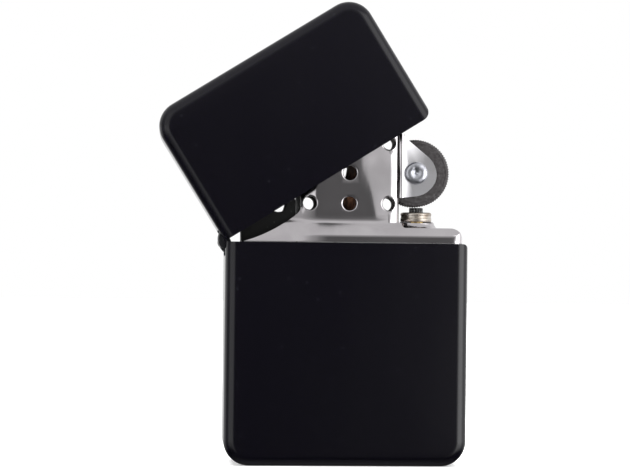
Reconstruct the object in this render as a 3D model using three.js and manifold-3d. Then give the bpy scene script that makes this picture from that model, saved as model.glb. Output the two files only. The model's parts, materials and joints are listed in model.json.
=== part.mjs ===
// A flip-top petrol lighter with its lid about a third open.
// Millimetres. +X is to the right of the front view, +Z is up, the front faces -Y.
// The origin is the centre of the flat bottom of the case, and the hinge is on the -X side.

import * as THREE from "three";
import { mergeVertices } from "three/addons/utils/BufferGeometryUtils.js";
import Module from "manifold-3d";

const wasm = await Module();
wasm.setup();

// ---------------------------------------------------------------- driving dimensions

const WIDTH = 38.0;
const DEPTH = 12.9;
const CLOSED_HEIGHT = 57.35;
const CASE_HEIGHT = 34.85;
const RIM_GAP = 0.05;
const WALL = 0.5;
const CORNER_RADIUS = 4.0;
const EDGE_RADIUS = 1.8;
const MOUTH_CORNER_RADIUS = 0.9;

const LID_REST_ANGLE = 32.0;
const HINGE_X = -19.05;
const HINGE_Z = 34.75;
const KNUCKLE_RADIUS = 0.95;
const KNUCKLE_BORE = 0.41;
const PIN_RADIUS = 0.36;
const KNUCKLE_WIDTH = 1.8;
const KNUCKLE_PITCH = 1.9;
const KNUCKLE_COUNT = 5;
const LEAF_THICKNESS = 0.45;
const LEAF_LENGTH = 10.5;
const LEAF_HALF_WIDTH = 4.4;
const LEAF_START = 2.0;
const WELD_GAP = 0.05;
const NOTCH_HEIGHT = 2.1;
const NOTCH_HALF_WIDTH = 4.85;
const LEVER_REACH = 2.45;
const LEVER_THICKNESS = 0.5;
const LEVER_ANGLE = -45.0;

const TANK_LEFT = -17.4;
const TANK_RIGHT = 18.2;
const TANK_HALF_DEPTH = 5.6;
const TANK_BOTTOM = 1.5;
const TANK_TOP = 35.0;
const TANK_WALL = 0.4;
const TANK_SECTION_RADIUS = 1.5;
const TANK_FOOT_RADIUS = 3.9;

const SHEET = 0.45;
const FIN_LEFT = -16.1;
const CHIMNEY_LEFT = -7.15;
const CHIMNEY_RIGHT = 8.65;
const CHIMNEY_HALF_DEPTH = 3.95;
const CHIMNEY_TOP = 54.0;
const CHIMNEY_CORNER_RADIUS = 2.1;
const CORNER_FOOT_Z = 38.1;
const DECK_Z = 37.3;
const DECK_CORNER_RADIUS = 1.9;
const SHOULDER_RADIUS = 0.9;
const SHOULDER_START = 35.8;
const SHOULDER_TILT = 38.0;
const FILLET_RADIUS = 1.0;
const FOOT_FILLET = 0.6;
const FIN_STEP_Z = 40.5;
const HOLE_RADIUS = 1.04;
const HOLE_CENTRE_X = 0.43;
const HOLE_SPACING = 6.25;
const HOLE_ROW_LOW = 41.05;
const HOLE_ROW_PITCH = 4.8;

const WHEEL_X = 10.95;
const WHEEL_Z = 45.95;
const WHEEL_RADIUS = 5.35;
const WHEEL_HALF_WIDTH = 2.45;
const EAR_OUTER = 3.2;
const EAR_INNER = EAR_OUTER - SHEET;
const AXLE_RADIUS = 0.85;
const AXLE_BORE = 0.92;
const RIVET_HEAD_RADIUS = 1.75;
const RIVET_HEAD_HEIGHT = 0.5;
const WHEEL_TEETH = 34;
const TOOTH_DEPTH = 0.45;
const WHEEL_BAND = 0.85;

const FLINT_X = 11.35;
const FLINT_RADIUS = 1.1;
const FLINT_TOP = WHEEL_Z - WHEEL_RADIUS - 0.05;
const FLINT_LENGTH = 5.05;
const TUBE_RADIUS = 1.8;
const TUBE_BORE = 1.2;
const TUBE_CLEARANCE = 0.1;
const TUBE_TOP = 39.6;
const TUBE_BOTTOM = 2.3;
const TIP_HEAD_LENGTH = 2.2;
const SPRING_BOTTOM = 7.3;
const SPRING_WIRE = 0.16;
const SPRING_RADIUS = 0.86;
const SPRING_TURNS = 10;
const THREAD_PITCH = 0.9;
const THREAD_CREST = 1.15;
const THREAD_ROOT = 1.0;
const SCREW_SLOT_HALF = 0.35;
const SCREW_SLOT_TOP = 1.6;
const SCREW_HEAD_RADIUS = 2.6;
const SCREW_HEAD_BOTTOM = 1.1;
const SCREW_HEAD_TOP = 2.1;
const BOSS_RADIUS = 3.45;
const BOSS_NECK = 2.75;
const BOSS_TOP = 38.3;
const COLLAR_RADIUS = 2.45;
const COLLAR_TOP = 39.8;

const CAM_PIVOT_X = -13.0;
const CAM_PIVOT_Z = 34.0;
const CAM_LEFT = -16.45;
const CAM_RIGHT = -7.98;
const CAM_TOP = 41.5;
const CAM_SADDLE = 39.65;
const CAM_HALF_WIDTH = 3.1;
const CAM_HEEL_RADIUS = 1.6;
const CAM_PIN_RADIUS = 0.6;
const CAM_BORE = 0.66;
const CAM_FLOOR_Z = 31.85;
const SPRING_RIVET_X = -9.9;
const SPRING_RIVET_HOLE = 0.55;
const CAM_SPRING_X = -7.3;
const CAM_SPRING_TOP = 43.6;
const CAM_SPRING_TIP = -10.5;
const CAM_SPRING_FOOT = -11.1;
const CAM_SPRING_STRIP = 0.35;
const CAM_SPRING_HALF = 3.3;

const WICK_X = 0.5;
const WICK_RADIUS = 1.6;
const WICK_CLEARANCE = 0.45;
const WICK_TOP = 49.6;
const PACKING_COUNT = 4;
const PACKING_BOTTOM = 4.8;
const PACKING_PITCH = 6.55;
const PACKING_GAP = 0.3;
const PACKING_LEFT = -16.5;
const PACKING_RIGHT = 9.2;
const PACKING_HALF_DEPTH = 4.9;
const PACKING_ROUND = 1.2;

// Beyond every face of the part, for cutting blocks.
const FAR = 80;

// ---------------------------------------------------------------- solids

function solid(geometry) {
  const bare = geometry.index ? geometry.toNonIndexed() : geometry.clone();
  bare.deleteAttribute("normal");
  bare.deleteAttribute("uv");
  const merged = mergeVertices(bare, 1e-4);
  const corners = merged.index.array;
  const kept = [];
  for (let i = 0; i < corners.length; i += 3) {
    const [a, b, c] = [corners[i], corners[i + 1], corners[i + 2]];
    if (a !== b && b !== c && c !== a) kept.push(a, b, c);
  }
  const vertProperties = Float32Array.from(merged.attributes.position.array);
  const triVerts = Uint32Array.from(kept);
  return new wasm.Manifold(new wasm.Mesh({ numProp: 3, vertProperties, triVerts }));
}

function toGeometry(manifold) {
  const mesh = manifold.getMesh();
  const geometry = new THREE.BufferGeometry();
  geometry.setAttribute("position", new THREE.Float32BufferAttribute(mesh.vertProperties, 3));
  geometry.setIndex(Array.from(mesh.triVerts));
  geometry.computeVertexNormals();
  return geometry;
}

function joined(...pieces) {
  return pieces.reduce((sum, piece) => sum.add(piece));
}

function polygon(points) {
  return new THREE.Shape(points.map(([x, y]) => new THREE.Vector2(x, y)));
}

// Rounded rectangle. The radii run anticlockwise from the low-x, low-y corner.
function roundedRect(x0, y0, x1, y1, [r00, r10, r11, r01]) {
  const shape = new THREE.Shape();
  shape.moveTo(x0 + r00, y0);
  shape.lineTo(x1 - r10, y0);
  if (r10) shape.absarc(x1 - r10, y0 + r10, r10, -Math.PI / 2, 0);
  shape.lineTo(x1, y1 - r11);
  if (r11) shape.absarc(x1 - r11, y1 - r11, r11, 0, Math.PI / 2);
  shape.lineTo(x0 + r01, y1);
  if (r01) shape.absarc(x0 + r01, y1 - r01, r01, Math.PI / 2, Math.PI);
  shape.lineTo(x0, y0 + r00);
  if (r00) shape.absarc(x0 + r00, y0 + r00, r00, Math.PI, 1.5 * Math.PI);
  return shape;
}

// An (x, z) outline run along Y.
function alongY(shape, y0, y1, curveSegments = 8) {
  const geometry = new THREE.ExtrudeGeometry(shape, { depth: y1 - y0, bevelEnabled: false, curveSegments });
  geometry.rotateX(Math.PI / 2);
  geometry.translate(0, y1, 0);
  return solid(geometry);
}

// A (y, z) outline run along X.
function alongX(shape, x0, x1, curveSegments = 8) {
  const geometry = new THREE.ExtrudeGeometry(shape, { depth: x1 - x0, bevelEnabled: false, curveSegments });
  const turn = new THREE.Matrix4();
  turn.makeBasis(new THREE.Vector3(0, 1, 0), new THREE.Vector3(0, 0, 1), new THREE.Vector3(1, 0, 0));
  geometry.applyMatrix4(turn);
  geometry.translate(x0, 0, 0);
  return solid(geometry);
}

// An (x, y) outline run along Z.
function alongZ(shape, z0, z1, curveSegments = 8) {
  const geometry = new THREE.ExtrudeGeometry(shape, { depth: z1 - z0, bevelEnabled: false, curveSegments });
  geometry.translate(0, 0, z0);
  return solid(geometry);
}

function box(x0, x1, y0, y1, z0, z1) {
  const geometry = new THREE.BoxGeometry(x1 - x0, y1 - y0, z1 - z0);
  geometry.translate((x0 + x1) / 2, (y0 + y1) / 2, (z0 + z1) / 2);
  return solid(geometry);
}

function rodY(radius, x, z, y0, y1, sides = 24) {
  const geometry = new THREE.CylinderGeometry(radius, radius, y1 - y0, sides);
  geometry.translate(x, (y0 + y1) / 2, z);
  return solid(geometry);
}

function rodZ(radius, x, z0, z1, sides = 24) {
  const geometry = new THREE.CylinderGeometry(radius, radius, z1 - z0, sides);
  geometry.rotateX(Math.PI / 2);
  geometry.translate(x, 0, (z0 + z1) / 2);
  return solid(geometry);
}

// A turned piece: [radius, height] points up the +Z axis at a given x.
function turnedZ(points, x, sides = 24) {
  const geometry = new THREE.LatheGeometry(points.map(([r, h]) => new THREE.Vector2(r, h)), sides);
  geometry.rotateX(Math.PI / 2);
  geometry.translate(x, 0, 0);
  return solid(geometry);
}

// A turned piece on an axis that runs along Y.
function turnedY(points, x, z, sides = 24) {
  const geometry = new THREE.LatheGeometry(points.map(([r, h]) => new THREE.Vector2(r, h)), sides);
  geometry.translate(x, 0, z);
  return solid(geometry);
}

// ---------------------------------------------------------------- case and lid

// The closed lighter's pillow-edged envelope. The smaller the edge radius, the further inside it lies.
function envelope(edgeRadius) {
  const side = WIDTH / 2 - EDGE_RADIUS;
  const radius = CORNER_RADIUS - EDGE_RADIUS;
  const outline = roundedRect(-side, EDGE_RADIUS, side, CLOSED_HEIGHT - EDGE_RADIUS, Array(4).fill(radius));
  const core = DEPTH - 2 * EDGE_RADIUS;
  const geometry = new THREE.ExtrudeGeometry(outline, {
    depth: core,
    bevelSize: edgeRadius,
    bevelThickness: edgeRadius,
    bevelSegments: 4,
    curveSegments: 5,
  });
  geometry.rotateX(Math.PI / 2);
  geometry.translate(0, core / 2, 0);
  return solid(geometry);
}

function hingeNotch(z0, z1) {
  return box(HINGE_X - 1, -WIDTH / 2 + WALL + 0.2, -NOTCH_HALF_WIDTH, NOTCH_HALF_WIDTH, z0, z1);
}

function shell(slice, notch) {
  return envelope(EDGE_RADIUS).intersect(slice).subtract(envelope(EDGE_RADIUS - WALL)).subtract(notch);
}

function caseBody() {
  const outline = roundedRect(-WIDTH, -1, WIDTH / 2, CASE_HEIGHT, [0, 0, MOUTH_CORNER_RADIUS, 0]);
  const slice = alongY(outline, -DEPTH, DEPTH, 5);
  return shell(slice, hingeNotch(HINGE_Z - NOTCH_HEIGHT, CASE_HEIGHT + 1));
}

function lidShell() {
  const rim = CASE_HEIGHT + RIM_GAP;
  const outline = roundedRect(-WIDTH, rim, WIDTH / 2, FAR, [0, MOUTH_CORNER_RADIUS, 0, 0]);
  const slice = alongY(outline, -DEPTH, DEPTH, 5);
  return shell(slice, hingeNotch(rim - 1, HINGE_Z + NOTCH_HEIGHT));
}

// ---------------------------------------------------------------- hinge

function knuckleY(index) {
  return (index - (KNUCKLE_COUNT - 1) / 2) * KNUCKLE_PITCH;
}

// One leaf: a flat plate inside the wall and curled knuckles outside it.
// side is +1 for the lid and -1 for the case.
function hingeLeaf(side, knuckles) {
  const inner = -WIDTH / 2 + WALL + WELD_GAP;
  const near = inner - HINGE_X;
  const far = near + LEAF_THICKNESS;
  const at = ([dx, dz]) => [HINGE_X + dx, HINGE_Z + side * dz];
  const z0 = HINGE_Z + side * LEAF_START;
  const z1 = HINGE_Z + side * LEAF_LENGTH;
  const halfWidth = LEAF_HALF_WIDTH;
  let leaf = box(inner, inner + LEAF_THICKNESS, -halfWidth, halfWidth, Math.min(z0, z1), Math.max(z0, z1));
  const curl = [
    [-KNUCKLE_RADIUS, 0],
    [-0.8, 0.45],
    [-0.5, 1.05],
    [0, 1.5],
    [near, 1.95],
    [near, 2.4],
    [far, 2.4],
    [far, 1.2],
    [KNUCKLE_RADIUS, 0.6],
    [KNUCKLE_RADIUS, 0],
  ];
  for (const index of knuckles) {
    const y0 = knuckleY(index) - KNUCKLE_WIDTH / 2;
    const y1 = knuckleY(index) + KNUCKLE_WIDTH / 2;
    const strap = alongY(polygon(curl.map(at)), y0, y1);
    leaf = joined(leaf, strap, rodY(KNUCKLE_RADIUS, HINGE_X, HINGE_Z, y0, y1, 20));
  }
  return leaf;
}

function pinBore() {
  return rodY(KNUCKLE_BORE, HINGE_X, HINGE_Z, -DEPTH, DEPTH, 16);
}

function hingeLeafCase() {
  return hingeLeaf(-1, [1, 3]).subtract(pinBore());
}

// The lid's leaf carries the short lever that rolls over the face of the cam.
function hingeLeafLid() {
  const angle = THREE.MathUtils.degToRad(LEVER_ANGLE);
  const along = ([d, t]) => [
    HINGE_X + d * Math.cos(angle) - t * Math.sin(angle),
    HINGE_Z + d * Math.sin(angle) + t * Math.cos(angle),
  ];
  const half = LEVER_THICKNESS / 2;
  const tip = LEVER_REACH - half;
  const nose = LEVER_REACH - 0.08;
  const outline = [
    [0.5, -half],
    [tip, -half],
    [nose, -0.1],
    [nose, 0.1],
    [tip, half],
    [0.5, half],
  ];
  const reach = KNUCKLE_WIDTH / 2;
  const lever = alongY(polygon(outline.map(along)), -reach, reach);
  return hingeLeaf(1, [0, 2, 4]).add(lever).subtract(pinBore());
}

function hingePin() {
  const half = ((KNUCKLE_COUNT - 1) * KNUCKLE_PITCH + KNUCKLE_WIDTH) / 2;
  return rodY(PIN_RADIUS, HINGE_X, HINGE_Z, -half, half, 16);
}

// ---------------------------------------------------------------- insert

function tankTube(inset) {
  const radius = TANK_SECTION_RADIUS - inset;
  const half = TANK_HALF_DEPTH - inset;
  const section = roundedRect(TANK_LEFT + inset, -half, TANK_RIGHT - inset, half, Array(4).fill(radius));
  return alongZ(section, TANK_BOTTOM - (inset ? 1 : 0), TANK_TOP + (inset ? 1 : 0), 5);
}

function tankFoot(inset) {
  const radius = TANK_FOOT_RADIUS - inset;
  const low = TANK_BOTTOM + inset;
  const outline = roundedRect(TANK_LEFT + inset, low, TANK_RIGHT - inset, FAR, [radius, radius, 0, 0]);
  return alongY(outline, -DEPTH, DEPTH, 6);
}

function tankShell() {
  const cornerCut = box(TANK_LEFT - 1, FIN_LEFT, -DEPTH, DEPTH, CAM_FLOOR_Z + 0.05, FAR);
  const pinHoles = rodY(CAM_BORE, CAM_PIVOT_X, CAM_PIVOT_Z, -DEPTH, DEPTH, 20);
  return tankTube(0)
    .intersect(tankFoot(0))
    .subtract(tankTube(TANK_WALL))
    .subtract(cornerCut)
    .subtract(pinHoles);
}

// End section: up the tank wall, round onto the straight shoulder slope,
// in through the fillet and up the chimney.
function shoulderSection(inset) {
  const half = TANK_HALF_DEPTH - inset;
  const convex = SHOULDER_RADIUS - inset;
  const concave = FILLET_RADIUS + inset;
  const convexY = TANK_HALF_DEPTH - SHOULDER_RADIUS;
  const concaveY = CHIMNEY_HALF_DEPTH + FILLET_RADIUS;
  const tilt = THREE.MathUtils.degToRad(SHOULDER_TILT);
  const drop = TANK_HALF_DEPTH - CHIMNEY_HALF_DEPTH;
  const rounds = (SHOULDER_RADIUS + FILLET_RADIUS) * Math.tan(tilt / 2);
  const fillZ = SHOULDER_START + drop / Math.tan(tilt) + rounds;
  const bottom = TANK_TOP - (inset ? 1 : 0);
  const shape = new THREE.Shape();
  shape.moveTo(-half, bottom);
  shape.lineTo(half, bottom);
  shape.absarc(convexY, SHOULDER_START, convex, 0, tilt);
  shape.absarc(concaveY, fillZ, concave, Math.PI + tilt, Math.PI, true);
  shape.lineTo(CHIMNEY_HALF_DEPTH - inset, FAR);
  shape.lineTo(inset - CHIMNEY_HALF_DEPTH, FAR);
  shape.absarc(-concaveY, fillZ, concave, 0, -tilt, true);
  shape.absarc(-convexY, SHOULDER_START, convex, Math.PI - tilt, Math.PI);
  return alongX(shape, -WIDTH, WIDTH, 4);
}

// Front view of the insert's top: sloping fins, chimney, deck.
function frontOutline() {
  const shape = new THREE.Shape();
  shape.moveTo(FIN_LEFT, TANK_TOP - 1);
  shape.lineTo(TANK_RIGHT, TANK_TOP - 1);
  shape.lineTo(TANK_RIGHT, DECK_Z - DECK_CORNER_RADIUS);
  const deckCornerX = TANK_RIGHT - DECK_CORNER_RADIUS;
  shape.absarc(deckCornerX, DECK_Z - DECK_CORNER_RADIUS, DECK_CORNER_RADIUS, 0, Math.PI / 2);
  shape.lineTo(CHIMNEY_RIGHT + FOOT_FILLET, DECK_Z);
  shape.absarc(CHIMNEY_RIGHT + FOOT_FILLET, DECK_Z + FOOT_FILLET, FOOT_FILLET, 1.5 * Math.PI, Math.PI, true);
  shape.lineTo(CHIMNEY_RIGHT, CHIMNEY_TOP);
  shape.lineTo(CHIMNEY_LEFT, CHIMNEY_TOP);
  shape.lineTo(CHIMNEY_LEFT, FIN_STEP_Z);
  shape.quadraticCurveTo(CHIMNEY_LEFT - 0.05, 39.75, CHIMNEY_LEFT - 0.9, 39.1);
  shape.quadraticCurveTo(-9.3, 38.1, -11.2, 37.02);
  shape.quadraticCurveTo(-14.0, 35.5, FIN_LEFT, TANK_TOP);
  return shape;
}

// Plan of the insert's top, with the two corners beside the wheel rounded like the tank's.
function shoulderPlan(inset) {
  const radius = TANK_SECTION_RADIUS - inset;
  const half = TANK_HALF_DEPTH - inset;
  return alongZ(roundedRect(-WIDTH, -half, TANK_RIGHT - inset, half, [0, radius, radius, 0]), 0, FAR, 4);
}

function insertHollow() {
  const deckRadius = DECK_CORNER_RADIUS - SHEET;
  const below = TANK_TOP - 2;
  const underLeft = CHIMNEY_RIGHT - SHEET - 1;
  const underDeck = roundedRect(underLeft, below, TANK_RIGHT - SHEET, DECK_Z - SHEET, [0, 0, deckRadius, 0]);
  const flue = box(CHIMNEY_LEFT + SHEET, CHIMNEY_RIGHT - SHEET, -DEPTH, DEPTH, below, FAR)
    .subtract(chimneyCornerCut(1, SHEET))
    .subtract(chimneyCornerCut(-1, SHEET));
  const camBay = box(-WIDTH, CHIMNEY_LEFT, -DEPTH, DEPTH, below, FAR);
  const hollow = joined(flue, camBay, alongY(underDeck, -DEPTH, DEPTH));
  return hollow.intersect(shoulderSection(SHEET)).intersect(shoulderPlan(SHEET));
}

function chimneyHoles() {
  const rows = [
    [0, [-1, 0, 1]],
    [1, [0]],
    [2, [-1, 0, 1]],
  ];
  const holes = [];
  for (const [row, columns] of rows) {
    for (const column of columns) {
      const x = HOLE_CENTRE_X + column * HOLE_SPACING;
      holes.push(rodY(HOLE_RADIUS, x, HOLE_ROW_LOW + row * HOLE_ROW_PITCH, -DEPTH, DEPTH, 14));
    }
  }
  return joined(...holes);
}

// Rounds one vertical edge of the chimney's right side, outside or, with an inset, inside.
function chimneyCornerCut(side, inset) {
  const radius = CHIMNEY_CORNER_RADIUS - inset;
  const x = CHIMNEY_RIGHT - CHIMNEY_CORNER_RADIUS;
  const y = side * (CHIMNEY_HALF_DEPTH - CHIMNEY_CORNER_RADIUS);
  const far = side * DEPTH;
  const block = box(x, x + DEPTH, Math.min(y, far), Math.max(y, far), CORNER_FOOT_Z, FAR);
  const round = rodZ(radius, x, CORNER_FOOT_Z - 1, FAR + 1, 32).translate([0, y, 0]);
  return block.subtract(round);
}

// One wheel bracket: straight sloping top edge, round nose, flat underside.
function ear(side) {
  const root = CHIMNEY_RIGHT - SHEET;
  const low = WHEEL_Z - 3.95;
  const nose = WHEEL_X + 3.27;
  const shape = new THREE.Shape();
  shape.moveTo(root, low);
  shape.lineTo(WHEEL_X - 0.5, low + 0.25);
  shape.quadraticCurveTo(WHEEL_X + 1.3, low + 0.4, WHEEL_X + 2.1, low + 1.3);
  shape.quadraticCurveTo(nose - 0.05, low + 2.3, nose, WHEEL_Z - 0.3);
  shape.quadraticCurveTo(nose - 0.1, WHEEL_Z + 1.4, WHEEL_X + 2.0, WHEEL_Z + 2.5);
  shape.lineTo(root, WHEEL_Z + 6.4);
  const [y0, y1] = [side * EAR_INNER, side * EAR_OUTER].sort((a, b) => a - b);
  return alongY(shape, y0, y1, 6);
}

// The raised seat round the flint tube.
function tubeBoss() {
  return turnedZ([
    [0, DECK_Z - 0.3],
    [BOSS_RADIUS, DECK_Z - 0.3],
    [BOSS_RADIUS, DECK_Z],
    [BOSS_NECK + 0.15, BOSS_TOP - 0.3],
    [BOSS_NECK, BOSS_TOP],
    [0, BOSS_TOP],
  ], FLINT_X, 20);
}

function windscreen() {
  const front = alongY(frontOutline(), -DEPTH, DEPTH, 6);
  const outer = shoulderSection(0).intersect(front).intersect(shoulderPlan(0)).add(tubeBoss());
  const wheelSlot = box(CHIMNEY_RIGHT - 1, CHIMNEY_RIGHT + 0.3, -EAR_INNER, EAR_INNER, BOSS_TOP, FAR);
  const slotLeft = CHIMNEY_RIGHT - 0.6;
  const earSlot = box(slotLeft, slotLeft + 0.45, -DEPTH, DEPTH, WHEEL_Z - 1.85, WHEEL_Z + 1.4);
  const tubeHole = rodZ(TUBE_RADIUS + TUBE_CLEARANCE, FLINT_X, TANK_TOP - 1, BOSS_TOP + 1, 24);
  const axleHole = rodY(AXLE_BORE, WHEEL_X, WHEEL_Z, -DEPTH, DEPTH, 20);
  return outer
    .subtract(insertHollow())
    .subtract(chimneyHoles())
    .subtract(chimneyCornerCut(1, 0))
    .subtract(chimneyCornerCut(-1, 0))
    .subtract(wheelSlot)
    .add(joined(ear(1), ear(-1)))
    .subtract(earSlot)
    .subtract(tubeHole)
    .subtract(axleHole);
}

// The stepped plate that closes the tank: a floor under the cam, a riser,
// and a floor under the chimney and deck.
function topPlate() {
  const high = TANK_TOP - WELD_GAP;
  const outline = polygon([
    [TANK_LEFT, CAM_FLOOR_Z - SHEET],
    [CHIMNEY_LEFT + SHEET, CAM_FLOOR_Z - SHEET],
    [CHIMNEY_LEFT + SHEET, high - SHEET],
    [TANK_RIGHT, high - SHEET],
    [TANK_RIGHT, high],
    [CHIMNEY_LEFT, high],
    [CHIMNEY_LEFT, CAM_FLOOR_Z],
    [TANK_LEFT, CAM_FLOOR_Z],
  ]);
  const inset = TANK_WALL + 0.1;
  const half = TANK_HALF_DEPTH - inset;
  const plan = roundedRect(TANK_LEFT + inset, -half, TANK_RIGHT - inset, half, Array(4).fill(1.0));
  return alongY(outline, -DEPTH, DEPTH)
    .intersect(alongZ(plan, 0, FAR, 5))
    .subtract(rodZ(WICK_RADIUS + 0.25, WICK_X, 0, FAR, 20))
    .subtract(rodZ(TUBE_RADIUS + TUBE_CLEARANCE, FLINT_X, 0, FAR, 24))
    .subtract(rodZ(SPRING_RIVET_HOLE, SPRING_RIVET_X, 0, FAR, 12));
}

// ---------------------------------------------------------------- flint wheel and flint

// A ring of V-shaped teeth, as an outline in the plane of the wheel.
function toothedOutline(radius, depth, teeth, phase) {
  const points = [];
  for (let i = 0; i < teeth; i += 1) {
    for (const [shift, r] of [[0, radius - depth], [0.5, radius]]) {
      const angle = ((i + shift + phase) / teeth) * 2 * Math.PI;
      points.push([WHEEL_X + r * Math.cos(angle), WHEEL_Z + r * Math.sin(angle)]);
    }
  }
  return polygon(points);
}

function flintWheel() {
  const shallow = TOOTH_DEPTH / 2;
  const coarse = () => toothedOutline(WHEEL_RADIUS, TOOTH_DEPTH, WHEEL_TEETH, 0);
  const fine = toothedOutline(WHEEL_RADIUS - shallow, shallow, WHEEL_TEETH, 0.5);
  const core = alongY(fine, -WHEEL_BAND - 0.1, WHEEL_BAND + 0.1);
  const left = alongY(coarse(), -WHEEL_HALF_WIDTH, -WHEEL_BAND);
  const right = alongY(coarse(), WHEEL_BAND, WHEEL_HALF_WIDTH);
  return joined(core, left, right).subtract(rodY(AXLE_BORE, WHEEL_X, WHEEL_Z, -DEPTH, DEPTH, 20));
}

// The axle rivet: a shaft with a dished, turned-over head outside each bracket.
function wheelRivet() {
  const face = EAR_OUTER + WELD_GAP;
  const head = [
    [AXLE_RADIUS, face],
    [RIVET_HEAD_RADIUS, face],
    [RIVET_HEAD_RADIUS, face + RIVET_HEAD_HEIGHT - 0.28],
    [1.4, face + RIVET_HEAD_HEIGHT - 0.06],
    [0.9, face + RIVET_HEAD_HEIGHT],
    [0.55, face + RIVET_HEAD_HEIGHT - 0.12],
    [0, face + RIVET_HEAD_HEIGHT - 0.3],
  ];
  const mirrored = head.map(([r, h]) => [r, -h]).reverse();
  return turnedY([...mirrored, ...head], WHEEL_X, WHEEL_Z, 16);
}

function flintTube() {
  return rodZ(TUBE_RADIUS, FLINT_X, TUBE_BOTTOM, TUBE_TOP, 24).subtract(rodZ(TUBE_BORE, FLINT_X, 0, FAR, 20));
}

function flintTubeCollar() {
  const bore = TUBE_RADIUS + WELD_GAP;
  const seat = BOSS_TOP + WELD_GAP;
  return turnedZ([
    [bore, seat],
    [COLLAR_RADIUS, seat],
    [COLLAR_RADIUS, COLLAR_TOP - 0.35],
    [COLLAR_RADIUS - 0.35, COLLAR_TOP],
    [bore, COLLAR_TOP],
    [bore, seat],
  ], FLINT_X, 20);
}

function flint() {
  return turnedZ([
    [0, FLINT_TOP - FLINT_LENGTH],
    [FLINT_RADIUS, FLINT_TOP - FLINT_LENGTH],
    [FLINT_RADIUS, FLINT_TOP - 0.12],
    [FLINT_RADIUS - 0.12, FLINT_TOP],
    [0, FLINT_TOP],
  ], FLINT_X, 16);
}

const TIP_TOP = FLINT_TOP - FLINT_LENGTH - 0.05;
const SPRING_TOP = TIP_TOP - TIP_HEAD_LENGTH - 0.05;

function flintSpringTip() {
  return turnedZ([
    [0, SPRING_TOP - 2.0],
    [0.35, SPRING_TOP - 2.0],
    [0.5, SPRING_TOP - 1.8],
    [0.5, SPRING_TOP + 0.05],
    [FLINT_RADIUS, SPRING_TOP + 0.05],
    [FLINT_RADIUS, TIP_TOP],
    [0, TIP_TOP],
  ], FLINT_X, 16);
}

class Coil extends THREE.Curve {
  getPoint(t, target = new THREE.Vector3()) {
    const angle = t * SPRING_TURNS * 2 * Math.PI;
    const low = SPRING_BOTTOM + SPRING_WIRE;
    const high = SPRING_TOP - SPRING_WIRE;
    const x = FLINT_X + SPRING_RADIUS * Math.cos(angle);
    return target.set(x, SPRING_RADIUS * Math.sin(angle), low + t * (high - low));
  }
}

function flintSpring() {
  const wire = new THREE.Shape();
  wire.absarc(0, 0, SPRING_WIRE, 0, 2 * Math.PI);
  return solid(new THREE.ExtrudeGeometry(wire, {
    extrudePath: new Coil(),
    steps: SPRING_TURNS * 8,
    curveSegments: 3,
    bevelEnabled: false,
  }));
}

function flintScrew() {
  const thread = [];
  for (let z = SCREW_HEAD_TOP + 0.3; z < SPRING_BOTTOM - 0.8; z += THREAD_PITCH) {
    thread.push([THREAD_ROOT, z], [THREAD_CREST, z + THREAD_PITCH / 2]);
  }
  const body = turnedZ([
    [0, SCREW_HEAD_BOTTOM],
    [SCREW_HEAD_RADIUS - 0.2, SCREW_HEAD_BOTTOM],
    [SCREW_HEAD_RADIUS, SCREW_HEAD_BOTTOM + 0.2],
    [SCREW_HEAD_RADIUS, SCREW_HEAD_TOP],
    [THREAD_ROOT, SCREW_HEAD_TOP],
    ...thread,
    [0.9, SPRING_BOTTOM - 0.1],
    [0, SPRING_BOTTOM - 0.1],
  ], FLINT_X, 14);
  const slot = box(FLINT_X - FAR, FLINT_X + FAR, -SCREW_SLOT_HALF, SCREW_SLOT_HALF, 0, SCREW_SLOT_TOP);
  return body.subtract(slot);
}

// ---------------------------------------------------------------- cam

// The rocking cam, drawn from the heel at the pivot anticlockwise: front face, nose beside the chimney,
// saddle and hump.
function camBlock() {
  const shape = new THREE.Shape();
  shape.moveTo(CAM_LEFT, CAM_PIVOT_Z - 0.5);
  shape.absarc(CAM_PIVOT_X, CAM_PIVOT_Z, CAM_HEEL_RADIUS, 1.25 * Math.PI, 1.9 * Math.PI);
  shape.quadraticCurveTo(CAM_RIGHT - 0.4, 34.8, CAM_RIGHT, 36.8);
  shape.lineTo(CAM_RIGHT, CAM_TOP - 0.35);
  shape.quadraticCurveTo(CAM_RIGHT - 0.05, CAM_TOP, CAM_RIGHT - 0.45, CAM_TOP - 0.08);
  shape.lineTo(CAM_RIGHT - 2.2, CAM_SADDLE - 0.04);
  shape.lineTo(CAM_RIGHT - 2.9, CAM_SADDLE);
  shape.quadraticCurveTo(CAM_RIGHT - 3.4, CAM_SADDLE + 0.1, CAM_RIGHT - 4.6, CAM_TOP - 1.2);
  shape.quadraticCurveTo(CAM_LEFT + 2.6, CAM_TOP - 0.5, CAM_LEFT + 1.5, CAM_TOP - 1.4);
  shape.quadraticCurveTo(CAM_LEFT + 0.1, CAM_TOP - 2.7, CAM_LEFT, CAM_PIVOT_Z + 3.2);
  return alongY(shape, -CAM_HALF_WIDTH, CAM_HALF_WIDTH, 6)
    .subtract(rodY(CAM_BORE, CAM_PIVOT_X, CAM_PIVOT_Z, -DEPTH, DEPTH, 20));
}

function camPin() {
  const half = TANK_HALF_DEPTH;
  return rodY(CAM_PIN_RADIUS, CAM_PIVOT_X, CAM_PIVOT_Z, -half, half, 20);
}

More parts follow.
